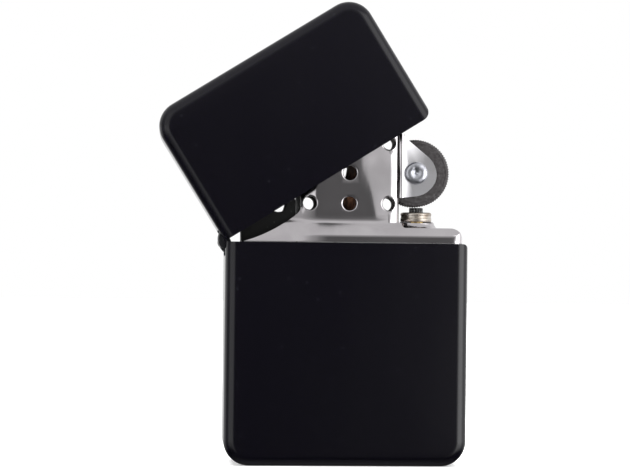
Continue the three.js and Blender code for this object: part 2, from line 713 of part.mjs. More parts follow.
// A bent strip: foot riveted to the floor, riser beside the chimney, and a lip over the back of the cam.
function camSpring() {
  const t = CAM_SPRING_STRIP;
  const foot = CAM_FLOOR_Z + WELD_GAP;
  const right = CAM_SPRING_X;
  const left = CAM_SPRING_X - t;
  const top = CAM_SPRING_TOP;
  const strip = polygon([
    [CAM_SPRING_FOOT, foot],
    [right - 0.4, foot],
    [right, foot + 0.4],
    [right, top - 0.4],
    [right - 0.5, top],
    [CAM_SPRING_TIP, top - 0.35],
    [CAM_SPRING_TIP + 0.05, top - 0.35 - t],
    [right - 0.6, top - t],
    [left, top - 0.55],
    [left, foot + 0.6],
    [right - 0.6, foot + t],
    [CAM_SPRING_FOOT, foot + t],
  ]);
  return alongY(strip, -CAM_SPRING_HALF, CAM_SPRING_HALF)
    .subtract(rodZ(SPRING_RIVET_HOLE, SPRING_RIVET_X, 0, FAR, 12));
}

function camSpringRivet() {
  const floor = CAM_FLOOR_Z - SHEET;
  const top = CAM_FLOOR_Z + 0.45;
  return turnedZ([
    [0, floor - 0.4],
    [0.9, floor - 0.35],
    [0.9, floor - 0.05],
    [0.5, floor - 0.05],
    [0.5, top],
    [0.9, top],
    [0.8, top + 0.3],
    [0, top + 0.4],
  ], SPRING_RIVET_X, 12);
}

// ---------------------------------------------------------------- wick, packing, felt

const WICK_ROUTE = [
  [WICK_X, WICK_TOP],
  [WICK_X, 42],
  [WICK_X, 35],
  [WICK_X, 31.5],
  [-3.2, 27.6],
  [-9.0, 24.4],
  [-10.0, 21.2],
  [-3.5, 17.6],
  [1.5, 14.6],
  [-2.5, 11.2],
  [-8.5, 8.6],
];

function wickRope(radius, sides) {
  const outline = [];
  for (let i = 0; i < sides; i += 1) {
    const angle = (i / sides) * 2 * Math.PI;
    outline.push([radius * Math.cos(angle), radius * Math.sin(angle)]);
  }
  const points = WICK_ROUTE.map(([x, z]) => new THREE.Vector3(x, 0, z));
  const extrudePath = new THREE.CatmullRomCurve3(points, false, "centripetal");
  const options = { extrudePath, steps: 34, bevelEnabled: false };
  return solid(new THREE.ExtrudeGeometry(polygon(outline), options));
}

function packing(index) {
  const z0 = PACKING_BOTTOM + index * PACKING_PITCH;
  const z1 = z0 + PACKING_PITCH - PACKING_GAP;
  const round = PACKING_ROUND;
  const corners = Array(4).fill(0.8);
  const outline = roundedRect(PACKING_LEFT + round, z0 + round, PACKING_RIGHT - round, z1 - round, corners);
  const core = 2 * (PACKING_HALF_DEPTH - round);
  const geometry = new THREE.ExtrudeGeometry(outline, {
    depth: core,
    bevelSize: round,
    bevelThickness: round,
    bevelSegments: 3,
    curveSegments: 3,
  });
  geometry.rotateX(Math.PI / 2);
  geometry.translate(0, core / 2, 0);
  return solid(geometry).subtract(wickRope(WICK_RADIUS + WICK_CLEARANCE, 8));
}

function feltPad() {
  const inset = TANK_WALL + 0.15;
  const half = TANK_HALF_DEPTH - inset;
  const radius = TANK_SECTION_RADIUS - inset;
  const plan = roundedRect(TANK_LEFT + inset, -half, TANK_RIGHT - inset, half, Array(4).fill(radius));
  return alongZ(plan, TANK_BOTTOM + 0.35, PACKING_BOTTOM - 0.3, 5)
    .intersect(tankFoot(inset))
    .subtract(rodZ(SCREW_HEAD_RADIUS + 0.3, FLINT_X, 0, 10, 24));
}

// ---------------------------------------------------------------- finishes and assembly

function finish(color, roughness, metalness) {
  return new THREE.MeshStandardMaterial({ color, roughness, metalness });
}

const BLACK = finish(0x15151b, 0.45, 0.3);
const CHROME = finish(0xd8d6d8, 0.12, 1.0);
const STEEL = finish(0x4a4848, 0.45, 0.9);
const RIVET_STEEL = finish(0xb9bcc4, 0.25, 1.0);
const BRASS = finish(0xcfcfa6, 0.3, 1.0);
const DARK = finish(0x121214, 0.6, 0.6);
const FLINT_GREY = finish(0x34343a, 0.6, 0.7);
const WICK_BROWN = finish(0x7a5236, 0.95, 0.0);
const COTTON = finish(0xeeeae0, 0.95, 0.0);
const FELT = finish(0xd9d4c8, 0.95, 0.0);

function part(name, manifold, material) {
  const mesh = new THREE.Mesh(toGeometry(manifold), material);
  mesh.name = name;
  return mesh;
}

// The lid and its leaf are drawn closed, then swung about the hinge axis.
function lidGroup() {
  const swing = new THREE.Group();
  swing.position.set(HINGE_X, 0, HINGE_Z);
  swing.rotation.y = -THREE.MathUtils.degToRad(LID_REST_ANGLE);
  const pieces = [part("lid_shell", lidShell(), BLACK), part("hinge_leaf_lid", hingeLeafLid(), BLACK)];
  for (const piece of pieces) {
    piece.position.set(-HINGE_X, 0, -HINGE_Z);
    swing.add(piece);
  }
  return swing;
}

const lighter = new THREE.Group();
lighter.add(
  part("case_body", caseBody(), BLACK),
  part("hinge_leaf_case", hingeLeafCase(), BLACK),
  part("hinge_pin", hingePin(), STEEL),
  lidGroup(),
  part("tank_shell", tankShell(), CHROME),
  part("windscreen", windscreen(), CHROME),
  part("top_plate", topPlate(), CHROME),
  part("flint_wheel", flintWheel(), STEEL),
  part("wheel_rivet", wheelRivet(), RIVET_STEEL),
  part("flint_tube", flintTube(), BRASS),
  part("flint_tube_collar", flintTubeCollar(), BRASS),
  part("flint", flint(), FLINT_GREY),
  part("flint_spring_tip", flintSpringTip(), BRASS),
  part("flint_spring", flintSpring(), RIVET_STEEL),
  part("flint_screw", flintScrew(), BRASS),
  part("cam", camBlock(), DARK),
  part("cam_pin", camPin(), STEEL),
  part("cam_spring", camSpring(), DARK),
  part("cam_spring_rivet", camSpringRivet(), STEEL),
  part("wick", wickRope(WICK_RADIUS, 10), WICK_BROWN),
  part("felt_pad", feltPad(), FELT),
);
for (let i = 0; i < PACKING_COUNT; i += 1) {
  lighter.add(part(`packing_${i + 1}`, packing(i), COTTON));
}

export default lighter;
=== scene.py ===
"""A satin black flip-top petrol lighter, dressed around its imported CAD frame."""

import json
import math

import bmesh
import bpy
from mathutils import Matrix, Vector, noise


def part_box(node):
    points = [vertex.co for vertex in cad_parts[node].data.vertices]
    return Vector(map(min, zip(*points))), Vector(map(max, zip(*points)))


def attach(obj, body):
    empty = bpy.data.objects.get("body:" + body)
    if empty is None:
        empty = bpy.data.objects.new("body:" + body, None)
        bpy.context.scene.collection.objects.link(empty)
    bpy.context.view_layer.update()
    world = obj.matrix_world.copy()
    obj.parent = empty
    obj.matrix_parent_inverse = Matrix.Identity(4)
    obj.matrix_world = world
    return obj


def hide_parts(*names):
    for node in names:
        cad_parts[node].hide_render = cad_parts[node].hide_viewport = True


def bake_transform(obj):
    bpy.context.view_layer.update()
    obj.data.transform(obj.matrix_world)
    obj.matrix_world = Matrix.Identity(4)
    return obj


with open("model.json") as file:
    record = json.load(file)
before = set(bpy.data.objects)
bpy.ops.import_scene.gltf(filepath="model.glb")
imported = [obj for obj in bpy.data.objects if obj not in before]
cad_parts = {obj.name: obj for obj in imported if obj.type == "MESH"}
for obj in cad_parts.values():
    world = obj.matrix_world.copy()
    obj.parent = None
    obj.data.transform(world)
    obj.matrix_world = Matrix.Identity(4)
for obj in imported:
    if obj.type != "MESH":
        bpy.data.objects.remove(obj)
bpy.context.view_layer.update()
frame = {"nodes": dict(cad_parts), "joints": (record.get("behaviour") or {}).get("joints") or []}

# ---------------------------------------------------------------- sizes, in millimetres

MM = 0.001
JOINTS = {joint["name"]: joint for joint in frame["joints"]}


def node_box(node):
    """Lowest and highest corners of a CAD node at rest."""
    low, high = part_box(node)
    return low / MM, high / MM


CASE_LOW, CASE_HIGH = node_box("case_body")
WIDTH = 38.0
DEPTH = CASE_HIGH.y - CASE_LOW.y
CASE_TOP = CASE_HIGH.z
CLOSED_HEIGHT = 57.35
RIM_GAP = 0.05
WELD_GAP = 0.05
WALL = 0.5
CORNER = 4.0
EDGE = 1.8
CASE_MOUTH = 0.9
LID_MOUTH = 1.7
FAR = 90.0  # beyond every face, for cutting blocks

HINGE = Vector(JOINTS["lid_hinge"]["pos_m"]) / MM
LID_OPEN = math.radians(-JOINTS["lid_hinge"]["range_deg"][0])
KNUCKLE = 0.95
PIN_BORE = 0.41
KNUCKLE_WIDTH = 1.8
KNUCKLE_PITCH = 1.9
LEAF = 0.45
LEAF_START = 2.0
LEAF_LENGTH = 10.5
LEAF_HALF = 4.4
NOTCH = 2.1
NOTCH_HALF = 4.85
LEVER_REACH = 2.45
LEVER_HALF = 0.25
LEVER_ANGLE = -45.0

SHEET = 0.45
TANK_TOP = 35.0
TANK_RIGHT = 18.2
TANK_HALF = 5.6
TANK_CORNER = 1.5
SHOULDER_START = 35.8
SHOULDER_TILT = 38.0
SHOULDER_ROUNDS = (0.9, 1.0)
FIN_START = 34.6
FIN_TILT = 25.0
FIN_ROUNDS = (1.4, 1.6)
DECK = 37.3
DECK_CORNER = 1.9
FIN_LEFT = -16.1
FIN_STEP = 40.5
FOOT_FILLET = 0.6
CHIMNEY_LEFT = -7.15
CHIMNEY_RIGHT = 8.65
CHIMNEY_HALF = 3.95
CHIMNEY_TOP = 54.0
CHIMNEY_CORNER = 2.1
CORNER_SETBACK = 0.28
ROLL_START = -4.6
CREASE_X = 3.53
CREASE_Z = 43.2
CREASE_SLOPE = 0.12
CORNER_FOOT = 38.1
HOLE = 1.04
HOLE_RIM = 0.27
HOLE_X = 0.43
HOLE_SPACING = 6.25
HOLE_LOW = 41.05
HOLE_PITCH = 4.8

WHEEL = Vector(JOINTS["wheel_spin"]["pos_m"]) / MM
WHEEL_RADIUS = 5.35
WHEEL_HALF = 2.45
EAR_OUTER = 3.2
EAR_INNER = EAR_OUTER - SHEET
BEAD = 0.42
BEAD_CENTRE = EAR_OUTER - 0.36
AXLE_BORE = 0.92
WHEEL_ROOM = 0.12
WHEEL_TEETH = 84
TOOTH_SHARE = 0.026
FLINT = Vector(JOINTS["flint_screw_turn"]["pos_m"]) / MM
FLINT_RADIUS = 1.1
TUBE_HOLE = 1.9
BOSS_TOP = 38.3
COLLAR_TOP = 39.8
CAM_PIVOT = Vector(JOINTS["cam_pivot"]["pos_m"]) / MM
CAM_HEEL = 1.6
CAM_BORE = 0.66
CAM_DIP = 1.85
CAM_NOSE = 0.35
WICK_RADIUS = 1.6


# ---------------------------------------------------------------- mesh helpers


def arc(cx, cy, radius, start, end, steps):
    """Points of an arc from start to end, in degrees."""
    angles = [math.radians(start + (end - start) * i / steps) for i in range(steps + 1)]
    return [(cx + radius * math.cos(a), cy + radius * math.sin(a)) for a in angles]


def curve(start, control, end, steps=10):
    """Points of a quadratic curve, without its first point."""
    points = []
    for i in range(1, steps + 1):
        t = i / steps
        a, b, c = (1 - t) ** 2, 2 * t * (1 - t), t * t
        points.append(tuple(a * s + b * m + c * e for s, m, e in zip(start, control, end)))
    return points


def rounded(x0, y0, x1, y1, radii, steps=10):
    """Rounded rectangle; the radii run anticlockwise from the low-x, low-y corner."""
    a, b, c, d = radii
    points = arc(x0 + a, y0 + a, a, 180, 270, steps) if a else [(x0, y0)]
    points += arc(x1 - b, y0 + b, b, 270, 360, steps) if b else [(x1, y0)]
    points += arc(x1 - c, y1 - c, c, 0, 90, steps) if c else [(x1, y1)]
    points += arc(x0 + d, y1 - d, d, 90, 180, steps) if d else [(x0, y1)]
    return points


def place(axis, u, v, w):
    """A point (u, v) of an outline at distance w along its axis."""
    return {"X": (w, u, v), "Y": (u, w, v), "Z": (u, v, w)}[axis]


def to_object(bm, name="piece"):
    bmesh.ops.recalc_face_normals(bm, faces=bm.faces)
    bmesh.ops.scale(bm, vec=(MM, MM, MM), verts=bm.verts)
    mesh = bpy.data.meshes.new(name)
    bm.to_mesh(mesh)
    bm.free()
    obj = bpy.data.objects.new(name, mesh)
    bpy.context.scene.collection.objects.link(obj)
    return obj


def prism(outline, low, high, axis):
    """A closed outline run along an axis."""
    bm = bmesh.new()
    rings = [[bm.verts.new(place(axis, u, v, w)) for u, v in outline] for w in (low, high)]
    bm.faces.new(rings[0])
    bm.faces.new(rings[1])
    count = len(outline)
    for i in range(count):
        j = (i + 1) % count
        bm.faces.new((rings[0][i], rings[0][j], rings[1][j], rings[1][i]))
    return to_object(bm)


def block(x0, x1, y0, y1, z0, z1):
    return prism([(x0, z0), (x1, z0), (x1, z1), (x0, z1)], y0, y1, "Y")


def rod(radius, u, v, low, high, axis, sides=64):
    return prism(arc(u, v, radius, 0, 360 * (sides - 1) / sides, sides - 1), low, high, axis)


def turned(rings, axis, u, v, sides=96, shape=None):
    """A surface of revolution through (radius, height) rings, closed on itself or on its axis.

    shape(angle, ring) gives a factor on the radius, for teeth and flutes.
    """
    bm = bmesh.new()
    loops = []
    for index, (radius, height) in enumerate(rings):
        if radius == 0:
            loops.append([bm.verts.new(place(axis, u, v, height))])
            continue
        loop = []
        for i in range(sides):
            angle = 2 * math.pi * i / sides
            r = radius * (shape(angle, index) if shape else 1)
            loop.append(bm.verts.new(place(axis, u + r * math.cos(angle), v + r * math.sin(angle), height)))
        loops.append(loop)
    closed = rings[0][0] != 0
    pairs = list(zip(loops, loops[1:] + loops[:1])) if closed else list(zip(loops, loops[1:]))
    for a, b in pairs:
        for i in range(sides):
            j = (i + 1) % sides
            if len(a) == 1:
                bm.faces.new((a[0], b[i], b[j]))
            elif len(b) == 1:
                bm.faces.new((a[i], a[j], b[0]))
            else:
                bm.faces.new((a[i], a[j], b[j], b[i]))
    return to_object(bm)


def skin(bm, rings):
    """Faces between neighbouring closed rings of equal length."""
    for a, b in zip(rings, rings[1:]):
        for i in range(len(a)):
            j = (i + 1) % len(a)
            bm.faces.new((a[i], a[j], b[j], b[i]))


def combine(target, tools, operation):
    """Joins, cuts or intersects target with each tool, and removes the tools."""
    for tool in tools:
        modifier = target.modifiers.new("combine", "BOOLEAN")
        modifier.operation = operation
        modifier.solver = "MANIFOLD"
        modifier.object = tool
    graph = bpy.context.evaluated_depsgraph_get()
    mesh = bpy.data.meshes.new_from_object(target.evaluated_get(graph))
    target.modifiers.clear()
    target.data = mesh
    for tool in tools:
        bpy.data.objects.remove(tool)
    return target


def cut(target, *tools):
    return combine(target, tools, "DIFFERENCE")


def join(target, *tools):
    return combine(target, tools, "UNION")


def common(target, *tools):
    return combine(target, tools, "INTERSECT")


def tidy(obj, merge=0.004):
    """Merges the crumbs that cutting leaves."""
    bm = bmesh.new()
    bm.from_mesh(obj.data)
    bmesh.ops.remove_doubles(bm, verts=bm.verts, dist=merge * MM)
    bmesh.ops.dissolve_degenerate(bm, edges=bm.edges, dist=merge * MM)
    bm.to_mesh(obj.data)
    bm.free()
    return obj


def soften(obj, width, angle=32, segments=2):
    """Smooth shading, with a small round on every edge sharper than the angle."""
    limit = math.radians(angle)
    obj.data.shade_smooth()
    obj.data.set_sharp_from_angle(angle=limit)
    if width:
        bevel = obj.modifiers.new("edge_round", "BEVEL")
        bevel.width = width * MM
        bevel.segments = segments
        bevel.limit_method = "ANGLE"
        bevel.angle_limit = limit
        bevel.harden_normals = True
    return obj


def dress(obj, name, body, material, replaced=()):
    """Names a new piece, gives it its finish and hides the CAD nodes it stands in for.

    Without a body, the piece is left unattached.
    """
    obj.name = name
    obj.data.name = name
    obj.data.materials.clear()
    obj.data.materials.append(material)
    if body:
        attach(obj, body)
    if replaced:
        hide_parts(*replaced)
    return obj


# ---------------------------------------------------------------- material helpers


class Finish:
    """A Principled material with short calls for its nodes."""

    def __init__(self, name, color, roughness, metallic=0.0, **sockets):
        self.material = bpy.data.materials.new(name)
        self.material.use_nodes = True
        self.nodes = self.material.node_tree.nodes
        self.links = self.material.node_tree.links
        self.shader = self.nodes["Principled BSDF"]
        self.set("Base Color", (*color, 1.0))
        self.set("Roughness", roughness)
        self.set("Metallic", metallic)
        for socket, value in sockets.items():
            self.set(socket.replace("_", " "), value)
        self.coords = self.nodes.new("ShaderNodeTexCoord").outputs["Object"]

    def set(self, socket, value):
        self.shader.inputs[socket].default_value = value

    def stretched(self, scale):
        mapping = self.nodes.new("ShaderNodeMapping")
        mapping.inputs["Scale"].default_value = scale
        self.links.new(self.coords, mapping.inputs["Vector"])
        return mapping.outputs["Vector"]

    def noise(self, scale, detail=3.0, stretch=None, distortion=0.0):
        node = self.nodes.new("ShaderNodeTexNoise")
        node.inputs["Scale"].default_value = scale
        node.inputs["Detail"].default_value = detail
        node.inputs["Distortion"].default_value = distortion
        self.links.new(self.stretched(stretch) if stretch else self.coords, node.inputs["Vector"])
        return node.outputs["Fac"]

    def cells(self, scale, feature="F1", output="Distance"):
        node = self.nodes.new("ShaderNodeTexVoronoi")
        node.feature = feature
        node.inputs["Scale"].default_value = scale
        self.links.new(self.coords, node.inputs["Vector"])
        return node.outputs[output]

    def ramp(self, source, stops):
        node = self.nodes.new("ShaderNodeValToRGB")
        first, last = node.color_ramp.elements[0], node.color_ramp.elements[1]
        first.position, first.color = stops[0][0], (*stops[0][1], 1.0)
        last.position, last.color = stops[-1][0], (*stops[-1][1], 1.0)
        for position, color in stops[1:-1]:
            node.color_ramp.elements.new(position).color = (*color, 1.0)
        self.links.new(source, node.inputs["Fac"])
        return node.outputs["Color"]

    def range(self, source, low, high, from_low=0.3, from_high=0.7):
        node = self.nodes.new("ShaderNodeMapRange")
        node.inputs["From Min"].default_value = from_low
        node.inputs["From Max"].default_value = from_high
        node.inputs["To Min"].default_value = low
        node.inputs["To Max"].default_value = high
        self.links.new(source, node.inputs["Value"])
        return node.outputs["Result"]

    def drive(self, socket, source):
        self.links.new(source, self.shader.inputs[socket])
        return self

    def bump(self, layers):
        """Stacks (height source, strength, distance in mm) layers into the normal."""
        normal = None
        for source, strength, distance in layers:
            node = self.nodes.new("ShaderNodeBump")
            node.inputs["Strength"].default_value = strength
            node.inputs["Distance"].default_value = distance * MM
            self.links.new(source, node.inputs["Height"])
            if normal:
                self.links.new(normal, node.inputs["Normal"])
            normal = node.outputs["Normal"]
        self.links.new(normal, self.shader.inputs["Normal"])
        return self


def grey(value):
    return (value, value, value)


def black_coat():
    """Satin powder coat: fine orange peel, faint rubbing and a little dust."""
    finish = Finish("black_coat", (0.0009, 0.0006, 0.0024), 0.19, 0.0, Specular_IOR_Level=0.5)
    stops = [(0.0, (0.008, 0.008, 0.011)), (0.12, (0.0009, 0.0006, 0.0024))]
    finish.drive("Base Color", finish.ramp(finish.cells(420), stops))
    rub = finish.noise(90, 6, (1.0, 1.0, 0.25))
    finish.drive("Roughness", finish.range(rub, 0.165, 0.22))
    return finish.bump([(finish.noise(1600, 2), 0.06, 0.015), (finish.noise(260, 2), 0.04, 0.03)]).material


def black_hinge():
    """The same coat where it is thin and worn over the knuckles."""
    finish = Finish("black_hinge", (0.006, 0.006, 0.008), 0.42, 0.2, Specular_IOR_Level=0.3)
    wear = finish.noise(900, 6)
    stops = [(0.62, (0.006, 0.006, 0.008)), (0.78, (0.03, 0.03, 0.032))]
    finish.drive("Base Color", finish.ramp(wear, stops))
    finish.drive("Roughness", finish.range(wear, 0.36, 0.55))
    return finish.bump([(finish.noise(1800, 3), 0.25, 0.03)]).material


def bright_chrome():
    """Polished stainless sheet: slightly wavy, with drawn lines and faint water marks."""
    finish = Finish("bright_chrome", (0.80, 0.785, 0.80), 0.12, 1.0)
    lines = finish.noise(700, 3, (1.0, 1.0, 0.03))
    marks = finish.noise(160, 5, None, 0.6)
    finish.drive("Base Color", finish.ramp(marks, [(0.3, (0.84, 0.81, 0.83)), (0.75, (0.70, 0.665, 0.69))]))
    finish.drive("Roughness", finish.range(marks, 0.08, 0.17))
    wave = finish.noise(110, 1)
    grain = finish.noise(3200, 2)
    return finish.bump([(wave, 0.2, 0.1), (lines, 0.05, 0.01), (grain, 0.05, 0.01)]).material


def inner_steel():
    """Plain drawn steel of the tank, with upright draw lines."""
    finish = Finish("inner_steel", (0.60, 0.59, 0.60), 0.32, 1.0)
    lines = finish.noise(900, 4, (1.0, 1.0, 0.02))
    finish.drive("Roughness", finish.range(lines, 0.25, 0.42))
    return finish.bump([(lines, 0.12, 0.01)]).material


def bracket_steel():
    """Satin stamped steel of the wheel brackets, with fine rolling lines."""
    finish = Finish("bracket_steel", (0.76, 0.75, 0.77), 0.34, 1.0)
    lines = finish.noise(900, 3, (1.0, 1.0, 0.05))
    marks = finish.noise(300, 4, None, 0.8)
    finish.drive("Base Color", finish.ramp(marks, [(0.35, (0.93, 0.92, 0.94)), (0.7, (0.80, 0.79, 0.83))]))
    finish.drive("Roughness", finish.range(marks, 0.3, 0.44))
    return finish.bump([(lines, 0.08, 0.01), (finish.noise(200, 1), 0.3, 0.1)]).material


def soot_and_shade_steel():
    """The inside of the chimney and the ears' inner faces: dull steel under a patchy film of soot, made
    darker still as painted shade of these hidden faces.
    """
    finish = Finish("soot_and_shade_steel", (0.10, 0.09, 0.085), 0.6, 0.6)
    soot = finish.noise(420, 5)
    stops = [(0.35, (0.16, 0.145, 0.14)), (0.65, (0.03, 0.027, 0.026))]
    finish.drive("Base Color", finish.ramp(soot, stops))
    finish.drive("Roughness", finish.range(soot, 0.45, 0.75))
    return finish.bump([(soot, 0.25, 0.02)]).material


def wheel_steel():
    """Dark case-hardened steel, grainy, with a little bright wear."""
    finish = Finish("wheel_steel", (0.06, 0.056, 0.057), 0.55, 0.7)
    grain = finish.noise(2400, 5)
    stops = [(0.35, (0.056, 0.051, 0.052)), (0.62, (0.10, 0.094, 0.096)), (0.8, grey(0.2))]
    finish.drive("Base Color", finish.ramp(grain, stops))
    finish.drive("Roughness", finish.range(grain, 0.45, 0.65))
    return finish.bump([(grain, 0.35, 0.03)]).material


def rivet_steel():
    """Peened rivet head: small dents over bright steel."""
    finish = Finish("rivet_steel", (0.70, 0.71, 0.77), 0.32, 1.0)
    dents = finish.cells(1300, "SMOOTH_F1")
    finish.drive("Roughness", finish.range(dents, 0.28, 0.42, 0.0, 1.0))
    return finish.bump([(dents, 0.3, 0.08), (finish.noise(2600, 3), 0.12, 0.02)]).material


def spring_steel():
    """Dark blued wire with a light bloom."""
    finish = Finish("spring_steel", (0.14, 0.14, 0.15), 0.34, 1.0)
    tint = finish.noise(300, 4)
    finish.drive("Base Color", finish.ramp(tint, [(0.35, (0.10, 0.10, 0.115)), (0.7, (0.2, 0.19, 0.18))]))
    finish.drive("Roughness", finish.range(tint, 0.28, 0.45))
    return finish.bump([(finish.noise(1500, 3, (1.0, 0.05, 1.0)), 0.12, 0.01)]).material


def cam_steel():
    """Blackened cam with a scatter of bright specks; on the cam spring this black is also painted shade."""
    finish = Finish("cam_steel", (0.006, 0.006, 0.007), 0.42, 0.3, Specular_IOR_Level=0.3)
    specks = finish.cells(1500)
    finish.drive("Base Color", finish.ramp(specks, [(0.05, grey(0.12)), (0.13, grey(0.006))]))
    finish.drive("Roughness", finish.range(finish.noise(500, 4), 0.35, 0.55))
    return finish.bump([(finish.noise(1400, 3), 0.3, 0.04)]).material


def brass(name, color, dark):
    """Brass with a patchy tarnish."""
    finish = Finish(name, color, 0.3, 1.0)
    tarnish = finish.noise(520, 6, None, 0.8)
    finish.drive("Base Color", finish.ramp(tarnish, [(0.42, color), (0.66, dark)]))
    finish.drive("Roughness", finish.range(tarnish, 0.24, 0.5))
    return finish.bump([(finish.noise(1500, 3, (1.0, 1.0, 6.0)), 0.15, 0.02)]).material


def flint_alloy():
    """Grainy grey flint."""
    finish = Finish("flint_alloy", (0.10, 0.10, 0.11), 0.5, 0.8)
    grain = finish.noise(3000, 4)
    finish.drive("Base Color", finish.ramp(grain, [(0.4, grey(0.05)), (0.7, grey(0.25))]))
    return finish.bump([(grain, 0.4, 0.03)]).material


def wick_cotton():
    """Brown fuel-stained cotton with paler threads, near black at the top: charring plus painted shade
    inside the chimney.
    """
    finish = Finish("wick_cotton", (0.10, 0.045, 0.022), 0.9, 0.0, Sheen_Weight=0.25)
    threads = finish.noise(2600, 4, (1.0, 1.0, 0.3))
    stops = [(0.35, (0.035, 0.014, 0.007)), (0.55, (0.12, 0.05, 0.024)), (0.8, (0.36, 0.19, 0.10))]
    height = finish.nodes.new("ShaderNodeSeparateXYZ")
    finish.links.new(finish.coords, height.inputs["Vector"])
    # Charring and painted shade: the colour turns near black from 43.5 to 46.5 mm up.
    char_and_shade = finish.range(height.outputs["Z"], 0.0, 0.85, 0.0435, 0.0465)
    charred_and_shaded = finish.nodes.new("ShaderNodeMixRGB")
    finish.links.new(char_and_shade, charred_and_shaded.inputs["Fac"])
    finish.links.new(finish.ramp(threads, stops), charred_and_shaded.inputs["Color1"])
    charred_and_shaded.inputs["Color2"].default_value = (0.012, 0.009, 0.008, 1.0)
    finish.drive("Base Color", charred_and_shaded.outputs["Color"])
    return finish.bump([(threads, 0.6, 0.05)]).material


def cotton():
    """White cotton wool."""
    finish = Finish("cotton_wool", (0.86, 0.84, 0.78), 0.95, 0.0, Sheen_Weight=0.4)
    fibres = finish.noise(1800, 8, None, 2.0)
    finish.drive("Base Color", finish.ramp(fibres, [(0.3, (0.72, 0.69, 0.62)), (0.7, (0.92, 0.90, 0.85))]))
    return finish.bump([(fibres, 0.7, 0.12)]).material


def felt():
    """Pressed off-white felt."""
    finish = Finish("pressed_felt", (0.66, 0.63, 0.56), 0.95, 0.0, Sheen_Weight=0.3)
    fibres = finish.noise(2600, 8, None, 1.2)
    finish.drive("Base Color", finish.ramp(fibres, [(0.3, (0.52, 0.49, 0.43)), (0.7, (0.74, 0.71, 0.64))]))
    return finish.bump([(fibres, 0.6, 0.08)]).material


COAT = black_coat()
HINGE_COAT = black_hinge()
CHROME = bright_chrome()
INNER_STEEL = inner_steel()
BRACKET_STEEL = bracket_steel()
SOOT_AND_SHADE_STEEL = soot_and_shade_steel()
WHEEL_STEEL = wheel_steel()
RIVET_STEEL = rivet_steel()
SPRING_STEEL = spring_steel()
CAM_STEEL = cam_steel()
COLLAR_BRASS = brass("collar_brass", (0.78, 0.73, 0.66), (0.44, 0.36, 0.29))
TUBE_BRASS = brass("tube_brass", (0.70, 0.52, 0.24), (0.42, 0.29, 0.12))
FLINT_ALLOY = flint_alloy()
WICK_COTTON = wick_cotton()
COTTON = cotton()
FELT = felt()


# ---------------------------------------------------------------- case and lid


def envelope(inset):
    """The closed lighter's pillow-edged outer form, or the hollow an inset inside it."""
    bm = bmesh.new()
    bmesh.ops.create_cube(bm, size=1.0)
    size = (WIDTH - 2 * inset, DEPTH - 2 * inset, CLOSED_HEIGHT - 2 * inset)
    bmesh.ops.scale(bm, vec=size, verts=bm.verts)
    bmesh.ops.translate(bm, vec=(0, 0, CLOSED_HEIGHT / 2), verts=bm.verts)
    across = [e for e in bm.edges if abs(e.verts[0].co.y - e.verts[1].co.y) > DEPTH / 2]
    bmesh.ops.bevel(bm, geom=across, offset=CORNER - inset, segments=18, profile=0.5, affect="EDGES")
    face_y = size[1] / 2 - 0.01
    rims = [e for e in bm.edges if all(abs(v.co.y) > face_y for v in e.verts)]
    rims = [e for e in rims if e.verts[0].co.y * e.verts[1].co.y > 0]
    bmesh.ops.bevel(bm, geom=rims, offset=EDGE - inset, segments=10, profile=0.5, affect="EDGES")
    return to_object(bm)


def shell(outline, notch_low, notch_high):
    """One half of the outer case: the slice of the envelope inside an outline, hollowed and notched."""
    form = common(envelope(0), prism(outline, -DEPTH, DEPTH, "Y"))
    notch = block(HINGE.x - 1, 0.2 + WALL - WIDTH / 2, -NOTCH_HALF, NOTCH_HALF, notch_low, notch_high)
    return tidy(cut(form, envelope(WALL), notch))


def swing_open(obj):
    """Turns a piece made in the closed place to where the lid stands at rest."""
    centre = Matrix.Translation(HINGE * MM)
    obj.data.transform(centre @ Matrix.Rotation(-LID_OPEN, 4, "Y") @ centre.inverted())
    return obj


def build_case():
    outline = rounded(-WIDTH, -1, WIDTH / 2, CASE_TOP, (0, 0, CASE_MOUTH, 0))
    body = shell(outline, HINGE.z - NOTCH, CASE_TOP + 1)
    dress(soften(body, 0.1), "case_shell", "case", COAT, ["case_body"])


def build_lid():
    rim = CASE_TOP + RIM_GAP
    outline = rounded(-WIDTH, rim, WIDTH / 2, FAR, (0, LID_MOUTH, 0, 0))
    lid = swing_open(shell(outline, rim - 1, HINGE.z + NOTCH))
    dress(soften(lid, 0.1), "flip_lid", "lid", COAT, ["lid_shell"])


def hinge_leaf(side, knuckles):
    """Flat plate inside the wall, curled knuckles outside it; side is 1 for the lid, -1 for the case."""
    near = WALL + WELD_GAP - WIDTH / 2 - HINGE.x
    far = near + LEAF
    low, high = sorted((HINGE.z + side * LEAF_START, HINGE.z + side * LEAF_LENGTH))
    leaf = block(HINGE.x + near, HINGE.x + far, -LEAF_HALF, LEAF_HALF, low, high)
    curl = arc(0, 0, KNUCKLE, 180, 150, 4) + curve((-0.74, 0.42), (-0.5, 1.35), (near, 1.95))
    curl += [(near, 2.4), (far, 2.4), (far, 1.2)] + curve((far, 1.2), (KNUCKLE, 0.6), (KNUCKLE, 0))
    for index in knuckles:
        y = (index - 2) * KNUCKLE_PITCH
        y0, y1 = y - KNUCKLE_WIDTH / 2, y + KNUCKLE_WIDTH / 2
        strap = prism([(HINGE.x + u, HINGE.z + side * v) for u, v in curl], y0, y1, "Y")
        leaf = join(leaf, strap, rod(KNUCKLE, HINGE.x, HINGE.z, y0, y1, "Y", 48))
    return leaf


def pin_bore():
    return rod(PIN_BORE, HINGE.x, HINGE.z, -DEPTH, DEPTH, "Y", 32)


